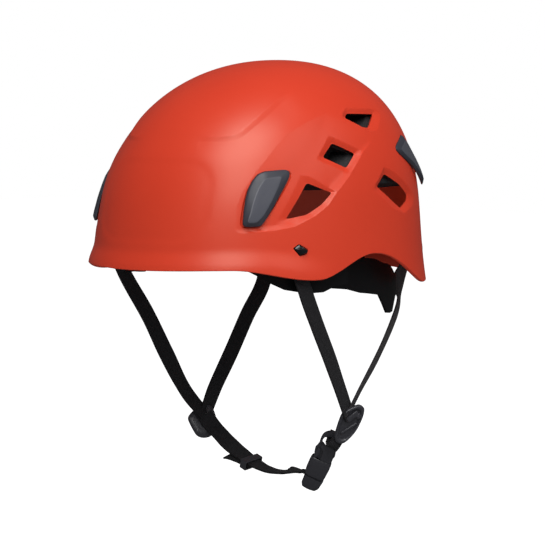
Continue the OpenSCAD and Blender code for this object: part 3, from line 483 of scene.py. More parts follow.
# the shell is lower outside the crown band, and less so further out
def bandDepth(p):
    q = np.stack([np.maximum(0, np.abs(p[:, 0]) - crownBand["half"] + crownBand["corner"]),
                  np.maximum(0, crownBand["front"] + crownBand["corner"] - p[:, 1])], -1)
    out = np.linalg.norm(q, axis=1) - crownBand["corner"]
    settle = 1 - crownBand["settled"] * ease(out / crownBand["settle"])
    outside = ease(out / crownBand["blend"] + 0.5) * settle
    return (crownBand["step"] * outside * easeOver(p[:, 2], *crownBand["rise"])
            * (1 - easeOver(p[:, 1], *crownBand["fade"])))


def panelDepth(p):
    middle = (browPanel["low"] + browPanel["high"]) / 2
    tall = (browPanel["high"] - browPanel["low"]) / 2
    q = np.stack([np.abs(p[:, 0]) - browPanel["half"] + browPanel["corner"],
                  np.abs(p[:, 2] - middle) - tall + browPanel["corner"]], -1)
    out = np.linalg.norm(np.maximum(q, 0), axis=1) + np.minimum(np.max(q, axis=1), 0) - browPanel["corner"]
    return np.where(p[:, 1] < 0, browPanel["depth"] * ease(0.5 - out / browPanel["blend"]), 0)


# the brim turns outwards towards the front
def brimOut(p):
    angle = np.degrees(np.arctan2(np.abs(p[:, 0]), -p[:, 1]))
    low = 1 - (p[:, 2] - smoothRun(shellForm["rim"], angle)) / brimTurn["height"]
    flat = p * (1, 1, 0)
    amount = brimTurn["out"] * ease(low) * easeOver(p[:, 1], *brimTurn["back"])
    return flat / np.linalg.norm(flat, axis=1)[:, None] * amount[:, None]


def shellDepth(p):
    yz = p[:, 1:]
    return scoopDepth(yz) + pocketDepth(yz) + stripDepth(yz) + seatDepth(yz) + bandDepth(p) + panelDepth(p)


def addObject(name, data):
    thing = bpy.data.objects.new(name, data)
    scene.collection.objects.link(thing)
    return thing


# turns a bmesh in millimetres into an object of the part, on one body, or with its place baked in when given
# more than one
def makePiece(name, bm, body, materials, replaces=(), smooth=40):
    bmesh.ops.scale(bm, vec=(mm, mm, mm), verts=bm.verts)
    mesh = bpy.data.meshes.new(name)
    bm.to_mesh(mesh)
    bm.free()
    piece = addObject(name, mesh)
    for material in materials:
        mesh.materials.append(material)
    mesh.shade_smooth()
    mesh.set_sharp_from_angle(angle=math.radians(smooth))
    if isinstance(body, str):
        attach(piece, body)
    else:
        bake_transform(piece)
    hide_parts(*replaces)
    return piece


# a section of (inset, share of the height) pairs from crown to crown, spun and laid on the dome
def spinDome(section, segments, edge, crowd):
    radius = 100  # of the spin, before the dome's own shape
    bm = bmesh.new()
    verts = [bm.verts.new((0, inset - radius, share)) for inset, share in section]
    edges = [bm.edges.new(pair) for pair in zip(verts, verts[1:])]
    bmesh.ops.spin(bm, geom=verts + edges, cent=(0, 0, 0), axis=(0, 0, 1), angle=2 * math.pi,
                   steps=segments, use_merge=True)
    co = np.array([v.co for v in bm.verts])
    angle = np.arctan2(co[:, 0], -co[:, 1])
    angle = angle + crowd * np.sin(2 * angle)
    inset = radius - np.hypot(co[:, 0], co[:, 1])
    share = co[:, 2]
    low = edge(np.degrees(np.abs(angle)))
    top = shellForm["crown"] - inset
    raised = low + (top - low) * np.sin(np.clip(share, 0, 1) * math.pi / 2)
    z = np.where(share > 0, raised, low + share)
    for v, p in zip(bm.verts, domePoint(angle, z, inset)):
        v.co = p
    bmesh.ops.remove_doubles(bm, verts=bm.verts, dist=0.02)
    bmesh.ops.recalc_face_normals(bm, faces=bm.faces)
    return bm


shellMiddle = Vector((0, 0, 40))
# cuts look only at faces near their line and well off the middle of the helmet
cutLook = {"margin": 4, "aside": 30, "reach": 3, "shortest": 0.1, "snap": 0.05}


def facesOut(face):
    return face.normal.dot(face.calc_center_median() - shellMiddle) > 0


def sideFaces(bm):
    found = [(f, f.calc_center_median()) for f in bm.faces]
    found = [(f, p[1:]) for f, p in found if abs(p.x) > cutLook["aside"]]
    return [f for f, p in found], np.array([p for f, p in found])


# cuts edges into the outer or the inner wall along a line in the side view, left and right
def creaseAlong(bm, line, closed, outer=True):
    line = np.array(line, float)
    low, high = line.min(0) - cutLook["margin"], line.max(0) + cutLook["margin"]
    faces, middles = sideFaces(bm)
    inBox = np.all((middles > low) & (middles < high), axis=1)
    pool = {f for f, near in zip(faces, inBox) if near and facesOut(f) == outer}
    ends = np.roll(line, -1, 0) if closed else line[1:]
    for a, b in zip(line, ends):
        if np.linalg.norm(b - a) < cutLook["shortest"]:
            continue
        faces = list(pool)
        middles = np.array([f.calc_center_median()[1:] for f in faces])
        near = [f for f, d in zip(faces, toLine(middles, [a, b])) if d < cutLook["reach"]]
        geom = near + list({e for f in near for e in f.edges}) + list({v for f in near for v in f.verts})
        cut = bmesh.ops.bisect_plane(bm, geom=geom, dist=cutLook["snap"], plane_co=(0, a[0], a[1]),
                                     plane_no=(0, a[1] - b[1], b[0] - a[0]))
        pool |= {g for g in cut["geom"] if isinstance(g, bmesh.types.BMFace)}


# takes out a hole on both sides, wider inside, and closes the wall between its two rims
def openHole(bm, loop, undercut):
    wider = offsetLoop(loop, undercut)
    faces, middles = sideFaces(bm)
    inLoop, inWider = within(middles, loop), within(middles, wider)
    gone = [f for f, a, b in zip(faces, inLoop, inWider) if (a if facesOut(f) else b)]
    bmesh.ops.delete(bm, geom=gone, context="FACES")
    for side in (1, -1):
        rims = [e for e in bm.edges if e.is_boundary and e.verts[0].co.x * side > 0]
        bmesh.ops.bridge_loops(bm, edges=rims)


# where each corner goes when the wall, still closed, is pressed in
def pressedPlaces(bm, wall, innerShare):
    bm.normal_update()
    p = np.array([v.co for v in bm.verts])
    n = np.array([v.normal for v in bm.verts])
    out = np.sum(n * (p - np.array(shellMiddle)), axis=1) > 0
    n[~out] *= -1
    depth = shellDepth(p + n * np.where(out, 0, wall)[:, None]) * np.where(out, 1, innerShare)
    return list(zip(bm.verts, p - n * depth[:, None] + brimOut(p)))


# the holes are marked and opened in the plain dome, which then moves to its pressed shape
def pressAndOpen(bm, holes, wall, innerShare):
    for loop, undercut in holes:
        creaseAlong(bm, loop, True)
        creaseAlong(bm, offsetLoop(loop, undercut), True, False)
    places = pressedPlaces(bm, wall, innerShare)
    for hole in holes:
        openHole(bm, *hole)
    for v, q in places:
        if v.is_valid:
            v.co = q
    bmesh.ops.recalc_face_normals(bm, faces=bm.faces)


# headlamp clips in the side view; each stands off by its gap at the foot, then at the head
clipLook = {
    "front": {"outline": [(-113.7, 37.5), (-110.9, 47.7), (-107.4, 56.3), (-102.7, 63.7), (-98.3, 68.2),
                          (-94.2, 70.1), (-86.9, 71), (-79.7, 71.4), (-77.6, 70.7), (-76.8, 69), (-77.4, 67),
                          (-80.2, 63), (-88.5, 52.1), (-97.4, 40.4), (-102.6, 33.6), (-104.2, 32),
                          (-106.4, 31.5), (-112.6, 31.3), (-114, 31.8), (-114.5, 33.2)],
              "face": [(-113.2, 36.2), (-110.6, 42), (-107.8, 48.3), (-103.6, 56.1), (-99.4, 62), (-96.2, 65),
                       (-91.2, 65.9), (-87, 66.3), (-85.9, 65.4), (-86.7, 63.6), (-94.1, 52.3),
                       (-101.9, 41.3), (-106.3, 36.1), (-108.4, 34.7), (-112, 34.4), (-113.2, 34.9)],
              "foot": (-109, 31), "head": (-88, 70.5), "gap": (2, 0.2)},
    "rear": {"outline": [(84.4, 58), (88, 56.4), (89.6, 58), (87.6, 63), (82.5, 70.5), (74, 82.5),
                         (67.4, 91.6), (63.6, 94.8), (60, 94.6), (52, 91.4), (43, 87.8), (40.2, 85.9),
                         (40.2, 83.7), (43.8, 81.2), (52, 77.4), (62, 73.2), (69.5, 69), (75.7, 64.8),
                         (80.4, 60.8)],
             "face": [(83.4, 62), (86, 60.6), (85.2, 63.2), (79, 71.5), (71, 82), (65.4, 89.2), (62.6, 90.8),
                      (59, 90.2), (52, 87.4), (46.4, 85), (47.4, 83), (54, 79.8), (64, 75.4), (72, 70.6),
                      (78.4, 65.8)],
             "foot": (88, 57), "head": (52, 90), "gap": (3.6, 0.2)},
    "back": [(0.4, 0), (0.8, 0), (0.97, 0)],
    "edge": [(0, 0.4), (0, 1.0), (0.04, 1.3), (0.12, 1.55), (0.92, 2.85), (1, 2.95)],
    "top": [(0.94, 3.0), (0.6, 3.1), (0.3, 3.15)],
    "settled": 0.85, "sunk": 0.8, "outlineSteps": 320, "faceSteps": 240, "corners": 144, "smooth": 60,
}

shellLook = {"segments": 300, "outerRings": 110, "innerRings": 30, "crowd": 0.17, "lip": 0.6, "lipSteps": 6,
             "smooth": 28}


def rings(inset, count):
    return [(inset, i / count) for i in range(count + 1)]


def roundEdge(near, far, drop, steps):
    turns = [math.pi * i / steps for i in range(steps + 1)]
    return [(near + (far - near) * (1 - math.cos(a)) / 2, -drop * math.sin(a)) for a in turns]


def buildShell():
    wall = shellForm["wall"]
    lip = roundEdge(0, wall, shellLook["lip"], shellLook["lipSteps"])[1:-1]
    section = rings(0, shellLook["outerRings"])[::-1] + lip + rings(wall, shellLook["innerRings"])
    bm = spinDome(section, shellLook["segments"], lambda a: smoothRun(shellForm["rim"], a),
                  shellLook["crowd"])
    for vent in vents:
        creaseAlong(bm, vent["lip"], True)
    underBand = [(y, z - strip["blend"] * strip["crease"]) for y, z in strip["band"]]
    for line in (scoop["fold"], scoop["ledge"], strip["band"], underBand):
        creaseAlong(bm, line, False)
    for which in ("front", "rear"):
        seat = offsetLoop(clipLook[which]["outline"], clipSeat["margin"])
        creaseAlong(bm, seat, True)
        creaseAlong(bm, offsetLoop(seat, -clipSeat["wall"]), True)
    holes = [(roundLoop(vent["hole"], ventLook["corner"]), ventLook["undercut"]) for vent in vents]
    for spot in hangers["at"]:
        loop = offsetLoop(np.array(hangers["outline"]) + spot, hangers["fit"])
        holes.append((roundLoop(loop, hangers["corner"], hangers["cornerSteps"]), hangers["undercut"]))
    pressAndOpen(bm, holes, wall, 1)
    shell = makePiece("shellSkin", bm, "helmet", [shellPlastic], ["shell"],
                      shellLook["smooth"])
    even = shell.modifiers.new("even", "WEIGHTED_NORMAL")
    even.keep_sharp = True


linerLook = {"gap": 0.6, "thickness": 17, "edge": 56, "segments": 180, "outerRings": 44, "innerRings": 30,
             "round": 4, "roundSteps": 8, "portLip": 1.0}


def buildLiner():
    near = shellForm["wall"] + linerLook["gap"]
    far = near + linerLook["thickness"]
    turn = roundEdge(near, far, linerLook["round"], linerLook["roundSteps"])
    section = rings(near, linerLook["outerRings"])[:0:-1] + turn + rings(far, linerLook["innerRings"])[1:]
    level = float(linerLook["edge"] + linerLook["round"])
    bm = spinDome(section, linerLook["segments"], lambda a: np.full(np.shape(a), level), 0)
    ports = [(offsetLoop(vent["hole"], -linerLook["portLip"]), 0) for vent in vents[:2]]
    pressAndOpen(bm, ports, 0, 0)
    makePiece("crownLiner", bm, "helmet", [crownFoam], ["foam_liner"])


buildShell()
buildLiner()
print("shell and liner made")


# smooth curves through a few points
def unit(v):
    v = np.array(v, float)
    return v / np.linalg.norm(v)


def heading(points, i):
    return unit(points[min(len(points) - 1, i + 1)] - points[max(0, i - 1)])


def curvePoint(points, t):
    i = int(min(max(math.floor(t), 0), len(points) - 2))
    s = t - i
    chord = np.linalg.norm(points[i + 1] - points[i])
    mid = points[i] + (points[i + 1] - points[i]) * s * s * (3 - 2 * s)
    return mid + chord * s * (1 - s) * ((1 - s) * heading(points, i) - s * heading(points, i + 1))


def smoothLoop(points, count):
    p = np.array(points, float)
    ring = np.concatenate([p[-2:], p, p[:3]])
    return np.array([curvePoint(ring, 2 + k * len(p) / count) for k in range(count)])


# the loop as seen from a middle point, one corner for each of a number of even angles
def rayLoop(loop, middle, count):
    d = loop - middle
    angle = np.arctan2(d[:, 1], d[:, 0])
    order = np.argsort(angle)
    turn = np.linspace(-math.pi, math.pi, count, endpoint=False)
    reach = np.interp(turn, angle[order], np.linalg.norm(d, axis=1)[order], period=2 * math.pi)
    return np.stack([np.cos(turn), np.sin(turn)], -1) * reach[:, None]


def addRing(bm, spots):
    ring = [bm.verts.new(q) for q in spots]
    return ring, [bm.edges.new(pair) for pair in zip(ring, ring[1:] + ring[:1])]


def vertsOf(geom):
    return [g for g in geom if isinstance(g, bmesh.types.BMVert)]


# joins loop to loop and closes both ends; from loop faceFrom on, faces get the second material
def loftLoops(bm, loops, place, faceFrom=None):
    edges = None
    faceFrom = len(loops) + 1 if faceFrom is None else faceFrom
    for number, (loop, height) in enumerate(loops):
        spots = [place(p, height) for p in loop]
        if edges is None:
            ring, edges = addRing(bm, spots)
            bm.faces.new(ring)
            continue
        grown = bmesh.ops.extrude_edge_only(bm, edges=edges)["geom"]
        fresh = vertsOf(grown)
        edges = [g for g in grown if isinstance(g, bmesh.types.BMEdge)
                 and g.verts[0] in fresh and g.verts[1] in fresh]
        for v, q in zip(fresh, spots):
            v.co = q
        for g in grown:
            if isinstance(g, bmesh.types.BMFace):
                g.material_index = int(number >= faceFrom)
    for face in bmesh.ops.contextual_create(bm, geom=edges)["faces"]:
        face.material_index = int(faceFrom <= len(loops))
    bmesh.ops.recalc_face_normals(bm, faces=bm.faces)


def handOf(side):
    return "Left" if side > 0 else "Right"


# a clip is lofted from the back, round the edge, up the bevel and over the face
def buildClip(which, side):
    look = clipLook[which]
    foot, head = np.array(look["foot"]), np.array(look["head"])
    run = head - foot
    face = smoothLoop(look["face"], clipLook["faceSteps"])
    middle = face.mean(0)
    outer = rayLoop(smoothLoop(look["outline"], clipLook["outlineSteps"]), middle, clipLook["corners"])
    inner = rayLoop(face, middle, clipLook["corners"])
    loops = [(middle + outer * share, h) for share, h in clipLook["back"]]
    loops += [(middle + outer + (inner - outer) * share, h) for share, h in clipLook["edge"]]
    loops += [(middle + inner * share, h) for share, h in clipLook["top"]]

    def place(p, height):
        t = ease(((p - foot) @ run) / (run @ run) / clipLook["settled"])
        low, high = look["gap"]
        gap = low + (high - low) * t
        sunk = clipLook["sunk"] * (scoopDepth(np.array([p]))[0] + clipSeat["depth"])
        x, y, z = sidePoint(p[0], p[1], sunk - gap - height)
        return x * side, y, z

    bm = bmesh.new()
    # faces up to the top of the bevel take the darker copy, painted shade
    loftLoops(bm, loops, place, len(clipLook["back"]) + len(clipLook["edge"]) - 1)
    makePiece("lampClip" + which.capitalize() + handOf(side), bm, "helmet",
              [clipEdgeShaded, clipPlastic], [f"clip_{which}_{handOf(side).lower()}"], clipLook["smooth"])


# caps on the strap plugs: the top sits off the middle, so that one facet is broad
plugCap = {"loops": [(0.9, -1.2), (0.94, -0.8), (0.94, 0.2), (0.9, 0.5), (0.6, 1.6), (0.5, 1.8), (0.2, 1.85)],
           "lean": [(1.7, -0.9), (-1.7, -0.9)], "proud": (1, 0.1), "cornerSteps": 4, "smooth": 24}


def buildPlugCap(which, side):
    spot = np.array(hangers["at"][which])
    outline = roundLoop(hangers["outline"], hangers["corner"], plugCap["cornerSteps"])
    lean, proud = np.array(plugCap["lean"][which]), plugCap["proud"][which]
    loops = [(spot + outline * share + lean * (1 - share), height) for share, height in plugCap["loops"]]

    def place(p, height):
        x, y, z = sidePoint(p[0], p[1], -height * (proud if height > 0 else 1))
        return x * side, y, z

    bm = bmesh.new()
    loftLoops(bm, loops, place)
    name = "plugCap" + ("Front", "Rear")[which] + handOf(side)
    makePiece(name, bm, "helmet", [hangerPlastic], smooth=plugCap["smooth"])


for side in (1, -1):
    for which in ("front", "rear"):
        buildClip(which, side)
    for which in range(2):
        buildPlugCap(which, side)
print("headlamp clips and plug caps made")


# webbing: a grid laid along a route, with the direction across it at each point
webLook = {"width": 13, "thick": 1.5, "steps": 90, "rows": 8, "selvedge": 0.45, "sharp": 50, "probe": 0.02}


def ribbonFrame(route, across, t):
    d = unit(curvePoint(route, t + webLook["probe"]) - curvePoint(route, t - webLook["probe"]))
    i = int(min(max(math.floor(t), 0), len(route) - 2))
    w = across[i] + (across[i + 1] - across[i]) * ease(t - i)
    w = unit(w - d * (w @ d))
    return curvePoint(route, t), w, np.cross(d, w)


def buildRibbon(name, route, across, material, replaces, width=webLook["width"], steps=webLook["steps"],
                body="helmet"):
    route, across = np.array(route, float), np.array(across, float)
    end = len(route) - 1
    bm = bmesh.new()
    bmesh.ops.create_grid(bm, x_segments=steps, y_segments=webLook["rows"], size=0.5)
    layer = bm.loops.layers.uv.new("UVMap")
    places = [curvePoint(route, end * k / steps) for k in range(steps + 1)]
    lengths = np.concatenate([[0], np.cumsum(np.linalg.norm(np.diff(places, axis=0), axis=1))])
    where = {}
    for v in bm.verts:
        u, s = v.co.x + 0.5, v.co.y
        p, w, _ = ribbonFrame(route, across, end * u)
        where[v.index] = (float(np.interp(u * steps, range(steps + 1), lengths)), s * width)
        v.co = p + w * s * width
    for face in bm.faces:
        for loop in face.loops:
            loop[layer].uv = where[loop.vert.index]
    strap = makePiece(name, bm, body, [material], replaces)
    wall = strap.modifiers.new("thickness", "SOLIDIFY")
    wall.thickness = webLook["thick"] * mm
    wall.offset = 0
    edge = strap.modifiers.new("selvedge", "BEVEL")
    edge.width = webLook["selvedge"] * mm
    edge.segments = 2
    edge.limit_method = "ANGLE"
    edge.angle_limit = math.radians(webLook["sharp"])


strapRoutes = {
    "strapFrontLeft": {
        "node": "strap_front_left", "material": blackWeb,
        "route": [(87.8, -78.3, 22), (88.6, -78.3, 14), (93.1, -71.6, -14), (86.9, -48.1, -42.4),
                  (81.2, -24, -70.9), (74.3, 0.2, -99.1), (71.7, 13.9, -118.8)],
        "across": [(0.34, 0.88, 0.34), (0.34, 0.88, 0.34), (0.14, 0.87, 0.46), (0.12, 0.77, 0.62),
                   (0.1, 0.77, 0.63), (-0.01, 0.8, 0.61), (-0.05, 0.84, 0.55)]},
    "strapFrontRight": {
        "node": "strap_front_right", "material": blackWeb,
        "route": [(-87.8, -78.3, 22), (-88.6, -78.3, 14), (-92.6, -57.6, -14), (-87.9, -36.9, -46.3),
                  (-85.3, -17.9, -78.5), (-81.6, 1.9, -110.8), (-71, 12.5, -130.2)],
        "across": [(-0.27, 0.78, 0.57), (-0.27, 0.78, 0.57), (0.01, 0.82, 0.57), (0.11, 0.84, 0.53),
                   (0.25, 0.82, 0.52), (-0.06, 0.87, 0.49), (-0.15, 0.9, 0.41)]},
    "strapRearLeft": {
        "node": "strap_rear_left", "material": greyWeb,
        "route": [(73.6, 97, 16), (74.4, 97, 8), (66, 87.8, -18.6), (66.7, 87, -36), (68.9, 76.6, -50),
                  (70.3, 54.4, -75.2), (74.3, 23.8, -99.8), (69.4, 13.1, -120.4)],
        "across": [(0.55, -0.73, 0.07), (0.55, -0.73, 0.07), (-0.2, -0.97, 0), (0.38, -0.71, 0.59),
                   (0.39, -0.75, 0.54), (0.44, -0.59, 0.68), (0.52, -0.63, 0.57), (0.51, -0.8, 0.3)]},
    "strapRearRight": {
        "node": "strap_rear_right", "material": blackWeb,
        "route": [(-73.6, 97, 16), (-74.4, 97, 8), (-68.5, 86.8, -26), (-70.5, 66.9, -54.2),
                  (-71.6, 47.7, -82.5), (-73.2, 28, -110.7), (-72.4, 15.1, -130.3)],
        "across": [(-0.55, -0.73, 0.07), (-0.55, -0.73, 0.07), (-0.48, -0.8, 0.36), (-0.41, -0.74, 0.54),
                   (-0.39, -0.75, 0.53), (-0.26, -0.79, 0.55), (-0.12, -0.83, 0.54)]},
}
for name, strap in strapRoutes.items():
    buildRibbon(name, strap["route"], strap["across"], strap["material"], [strap["node"]])

# the buckle's own frame, from the mouth of its socket
buckle = {"mouth": Vector((42.1, 18.8, -154.9)), "across": Vector((-0.728, -0.549, 0.41)),
          "out": Vector((0.396, -0.826, -0.402)), "axis": Vector((0.559, -0.13, 0.819))}


def bucklePoint(x, y, z):
    return tuple(buckle["mouth"] + buckle["across"] * x + buckle["out"] * y + buckle["axis"] * z)


# the chin strap runs from the helmet to the socket; two points of its route are listed with both bodies, and
# the piece is placed where it lies
chinStrap = {
    "route": [(-69.9, 11.4, -130.2), (-63.5, 15.4, -140), (-55.5, 14.1, -145), (-46, 11, -149.6),
              (-30, 5, -155), (-12, 2, -161.5), (1, 2, -165.5), (11, 8, -167.5), (17, 16, -167.2),
              bucklePoint(9, -12.8, -28), bucklePoint(1, -8.2, -27), bucklePoint(-7, -5, -26)],
    "across": [(0.433, 0.824, 0.367), (0.406, 0.845, 0.343), (0.2, 0.86, 0.42), (0.04, 0.87, 0.5),
               (0, 0.9, 0.4), (0, 1, 0.2), (0, 1, 0.05), (-0.4, 0.9, 0), (-0.5, 0.8, 0), (-0.5, 0.75, -0.1),
               (-0.55, 0.5, -0.5), (-0.559, 0.13, -0.819)],
    "over": (5, 8), "steps": 160,
}

# the loose end of the chin strap lies under it, slips aside and droops away
tailLook = {"start": 5.05, "step": 0.3, "points": 6, "under": 2.15, "flat": 2, "droop": 0.35, "aside": 0.92,
            "steps": 40}


def chinTail():
    route, across = np.array(chinStrap["route"]), np.array(chinStrap["across"], float)
    points, turns = [], []
    for i in range(tailLook["points"]):
        p, w, n = ribbonFrame(route, across, tailLook["start"] - tailLook["step"] * i)
        under = tailLook["under"] + tailLook["droop"] * max(0, i - tailLook["flat"]) ** 2
        points.append(p - n * under - w * tailLook["aside"] * i)
        turns.append(w)
    return points, turns


follows = ("helmet", "socket", *(Vector(chinStrap["route"][i]) * mm for i in chinStrap["over"]))
buildRibbon("chinWeb", chinStrap["route"], chinStrap["across"], blackWeb, ["chin_strap"],
            steps=chinStrap["steps"], body=follows)
buildRibbon("chinTailWeb", *chinTail(), blackWeb, ["chin_tail"], steps=tailLook["steps"])

# short web from the near divider, through the eye of the buckle and up behind its ring
loopWeb = {
    "route": [(64.1, 8.7, -136.7), (61.5, 7, -142.4), bucklePoint(-0.9, 3.7, 18.8),
              bucklePoint(-0.9, 0, 19.2), bucklePoint(-0.9, -4, 20.8), bucklePoint(-0.9, -3.1, 25.5)],
    "across": [(0.386, 0.823, -0.416), (0.386, 0.823, -0.416)] + [tuple(-buckle["across"])] * 4,
    "width": 9,
}
buildRibbon("buckleLoopWeb", loopWeb["route"], loopWeb["across"], blackWeb, ["buckle_loop"], loopWeb["width"])
print("webbing made")


# brow pad: a thin closed form on the headband, puffed by a cloth simulation
padLook = {"reach": 45, "margin": 3, "seat": 2.5, "thick": 4.2, "brow": 15, "temple": 10.4, "flush": 56,
           "lowLeft": [(0, 3), (34, 3), (60, -17)], "lowRight": [(0, 3), (34, 3), (62, -9)],
           "high": [(0, 25), (45, 24)], "grid": (80, 10), "voxel": 3, "pressure": 4, "frames": 20, "cap": 1.8}


def puff(piece):
    block = piece.modifiers.new("block", "REMESH")
    block.mode = "VOXEL"
    block.voxel_size = padLook["voxel"] * mm
    piece.data = bpy.data.meshes.new_from_object(piece.evaluated_get(bpy.context.evaluated_depsgraph_get()))
    piece.modifiers.clear()
    start = np.array([v.co for v in piece.data.vertices])
    cloth = piece.modifiers.new("cloth", "CLOTH")
    cloth.settings.use_pressure = True
    cloth.settings.uniform_pressure_force = padLook["pressure"]
    cloth.settings.effector_weights.gravity = 0
    for number in range(1, padLook["frames"] + 1):
        scene.frame_set(number)
    soft = piece.evaluated_get(bpy.context.evaluated_depsgraph_get()).data
    move = np.array([v.co for v in soft.vertices]) - start
    piece.modifiers.clear()
    scene.frame_set(1)
    out = start * (1, 1, 0)
    out = out / np.linalg.norm(out, axis=1)[:, None]
    move -= out * np.maximum(0, np.sum(move * out, axis=1))[:, None]  # the band behind it holds it
    size = np.linalg.norm(move, axis=1)[:, None]
    move *= np.minimum(1, padLook["cap"] * mm / np.maximum(size, 1e-9))
    piece.data.vertices.foreach_set("co", (start + move).ravel())
    piece.data.shade_smooth()
    fine = piece.modifiers.new("fine", "SUBSURF")
    fine.levels = fine.render_levels = 1


def buildPad():
    bm = bmesh.new()
    columns, rows = padLook["grid"]
    bmesh.ops.create_grid(bm, x_segments=columns, y_segments=rows, size=0.5)
    grown = bmesh.ops.extrude_face_region(bm, geom=list(bm.faces))["geom"]
    bmesh.ops.translate(bm, vec=(0, 0, 1), verts=vertsOf(grown))
    co = np.array([v.co for v in bm.verts])
    angle = 2 * padLook["reach"] * co[:, 0]
    side = np.abs(angle)
    low = np.where(angle > 0, smoothRun(padLook["lowLeft"], side), smoothRun(padLook["lowRight"], side))
    low = low + padLook["margin"]
    high = smoothRun(padLook["high"], side) - padLook["margin"]
    inset = padLook["brow"] + (padLook["temple"] - padLook["brow"]) * ease(side / padLook["flush"])
    inset = inset + padLook["seat"] + padLook["thick"] * co[:, 2]
    for v, q in zip(bm.verts, domePoint(np.radians(angle), low + (high - low) * (co[:, 1] + 0.5), inset)):
        v.co = q
    bmesh.ops.recalc_face_normals(bm, faces=bm.faces)
    pad = makePiece("browPad", bm, "helmet", [padKnit], ["brow_pad"])
    puff(pad)


buildPad()
print("brow pad made")


# strap dividers: a leaf with a raised rim, a bar and a block in its window and a slanting spine
# the far leaf is broader and shorter, and turned in its plane
dividers = {
    "left": {"centre": (68.5, 11.5, -127), "across": (0.386, 0.823, -0.416), "up": (0.398, 0.258, 0.88),
             "out": (0.832, -0.506, -0.227), "hand": 1, "spread": (1, 1), "turn": 0, "shift": (0, 0)},
    "right": {"centre": (-68, 14.6, -135.8), "across": (-0.433, -0.824, -0.367), "up": (-0.499, -0.12, 0.858),
              "out": (-0.751, 0.554, -0.359), "hand": -1, "spread": (1.3, 0.8), "turn": -19.5,
              "shift": (-5, -1.5)},
}
leafLook = {
    "outline": [(6.9, 19.4), (3.9, 20.9), (0.6, 20.4), (-3, 17), (-6.2, 13), (-8, 9), (-7.6, 4), (-6.6, -1),
                (-5.4, -6), (-4, -10), (-1.2, -12.6), (2.6, -13), (5.6, -11), (8.2, -5), (9.7, 2), (9.6, 8),
                (8.9, 14)],
    "middle": (1.2, 4), "rise": 0.3, "corners": 96, "smooth": 50,
    "loops": [(0.6, 0), (0.95, 0), (1, 0.6), (1, 2), (0.96, 2.9), (0.89, 3.2), (0.81, 2.8),
              (0.76, 1.3), (0.4, 1)],
    "bar": {"size": (4.2, 10.5, 2.6), "at": (0.6, 10.4, 2), "turn": -26, "edge": 0.8},
    "block": {"size": (4.4, 4, 2.8), "at": (5.2, 12.6, 2.1), "turn": -20, "edge": 0.9},
    "spine": {"size": (2.2, 15, 1.8), "at": (3.2, 0.8, 1.6), "turn": -34, "edge": 0.85},
}


def addBlock(bm, look):
    before = set(bm.verts)
    bmesh.ops.create_cube(bm, size=1)
    fresh = [v for v in bm.verts if v not in before]
    place = (Matrix.Translation(look["at"]) @ Matrix.Rotation(math.radians(look["turn"]), 4, "Z")
             @ Matrix.Diagonal((*look["size"], 1)))
    bmesh.ops.transform(bm, matrix=place, verts=fresh)
    edges = list({e for v in fresh for e in v.link_edges})
    bmesh.ops.bevel(bm, geom=edges, offset=look["edge"], affect="EDGES", segments=3, profile=0.5, material=-1)


# turns a mesh from a frame of its own into the part's
def setPlace(bm, centre, *axes):
    turn = Matrix(axes).transposed().to_4x4()
    bmesh.ops.transform(bm, matrix=Matrix.Translation(centre) @ turn, verts=bm.verts)
    bmesh.ops.recalc_face_normals(bm, faces=bm.faces)


def buildDivider(side):
    look = dividers[side]
    bm = bmesh.new()
    middle = np.array(leafLook["middle"])
    leaf = smoothLoop(leafLook["outline"], leafLook["corners"]) - middle
    loops = [(middle + leaf * share, height) for share, height in leafLook["loops"]]
    loftLoops(bm, loops, lambda q, height: (q[0], q[1], height))
    for name in ("bar", "block", "spine"):
        addBlock(bm, leafLook[name])
    shape = (Matrix.Translation((*(middle + look["shift"]), leafLook["rise"]))
             @ Matrix.Rotation(math.radians(look["turn"]), 4, "Z") @ Matrix.Diagonal((*look["spread"], 1, 1))
             @ Matrix.Translation((*-middle, 0)))
    bmesh.ops.transform(bm, matrix=shape, verts=bm.verts)
    bmesh.ops.scale(bm, vec=(look["hand"], 1, 1), verts=bm.verts)
    setPlace(bm, look["centre"], look["across"], look["up"], look["out"])
    makePiece("dividerLeaf" + side.capitalize(), bm, "helmet", [bucklePlastic],
              ["yoke_" + side, "yoke_cap_" + side], leafLook["smooth"])


for side in dividers:
    buildDivider(side)
print("strap dividers made")


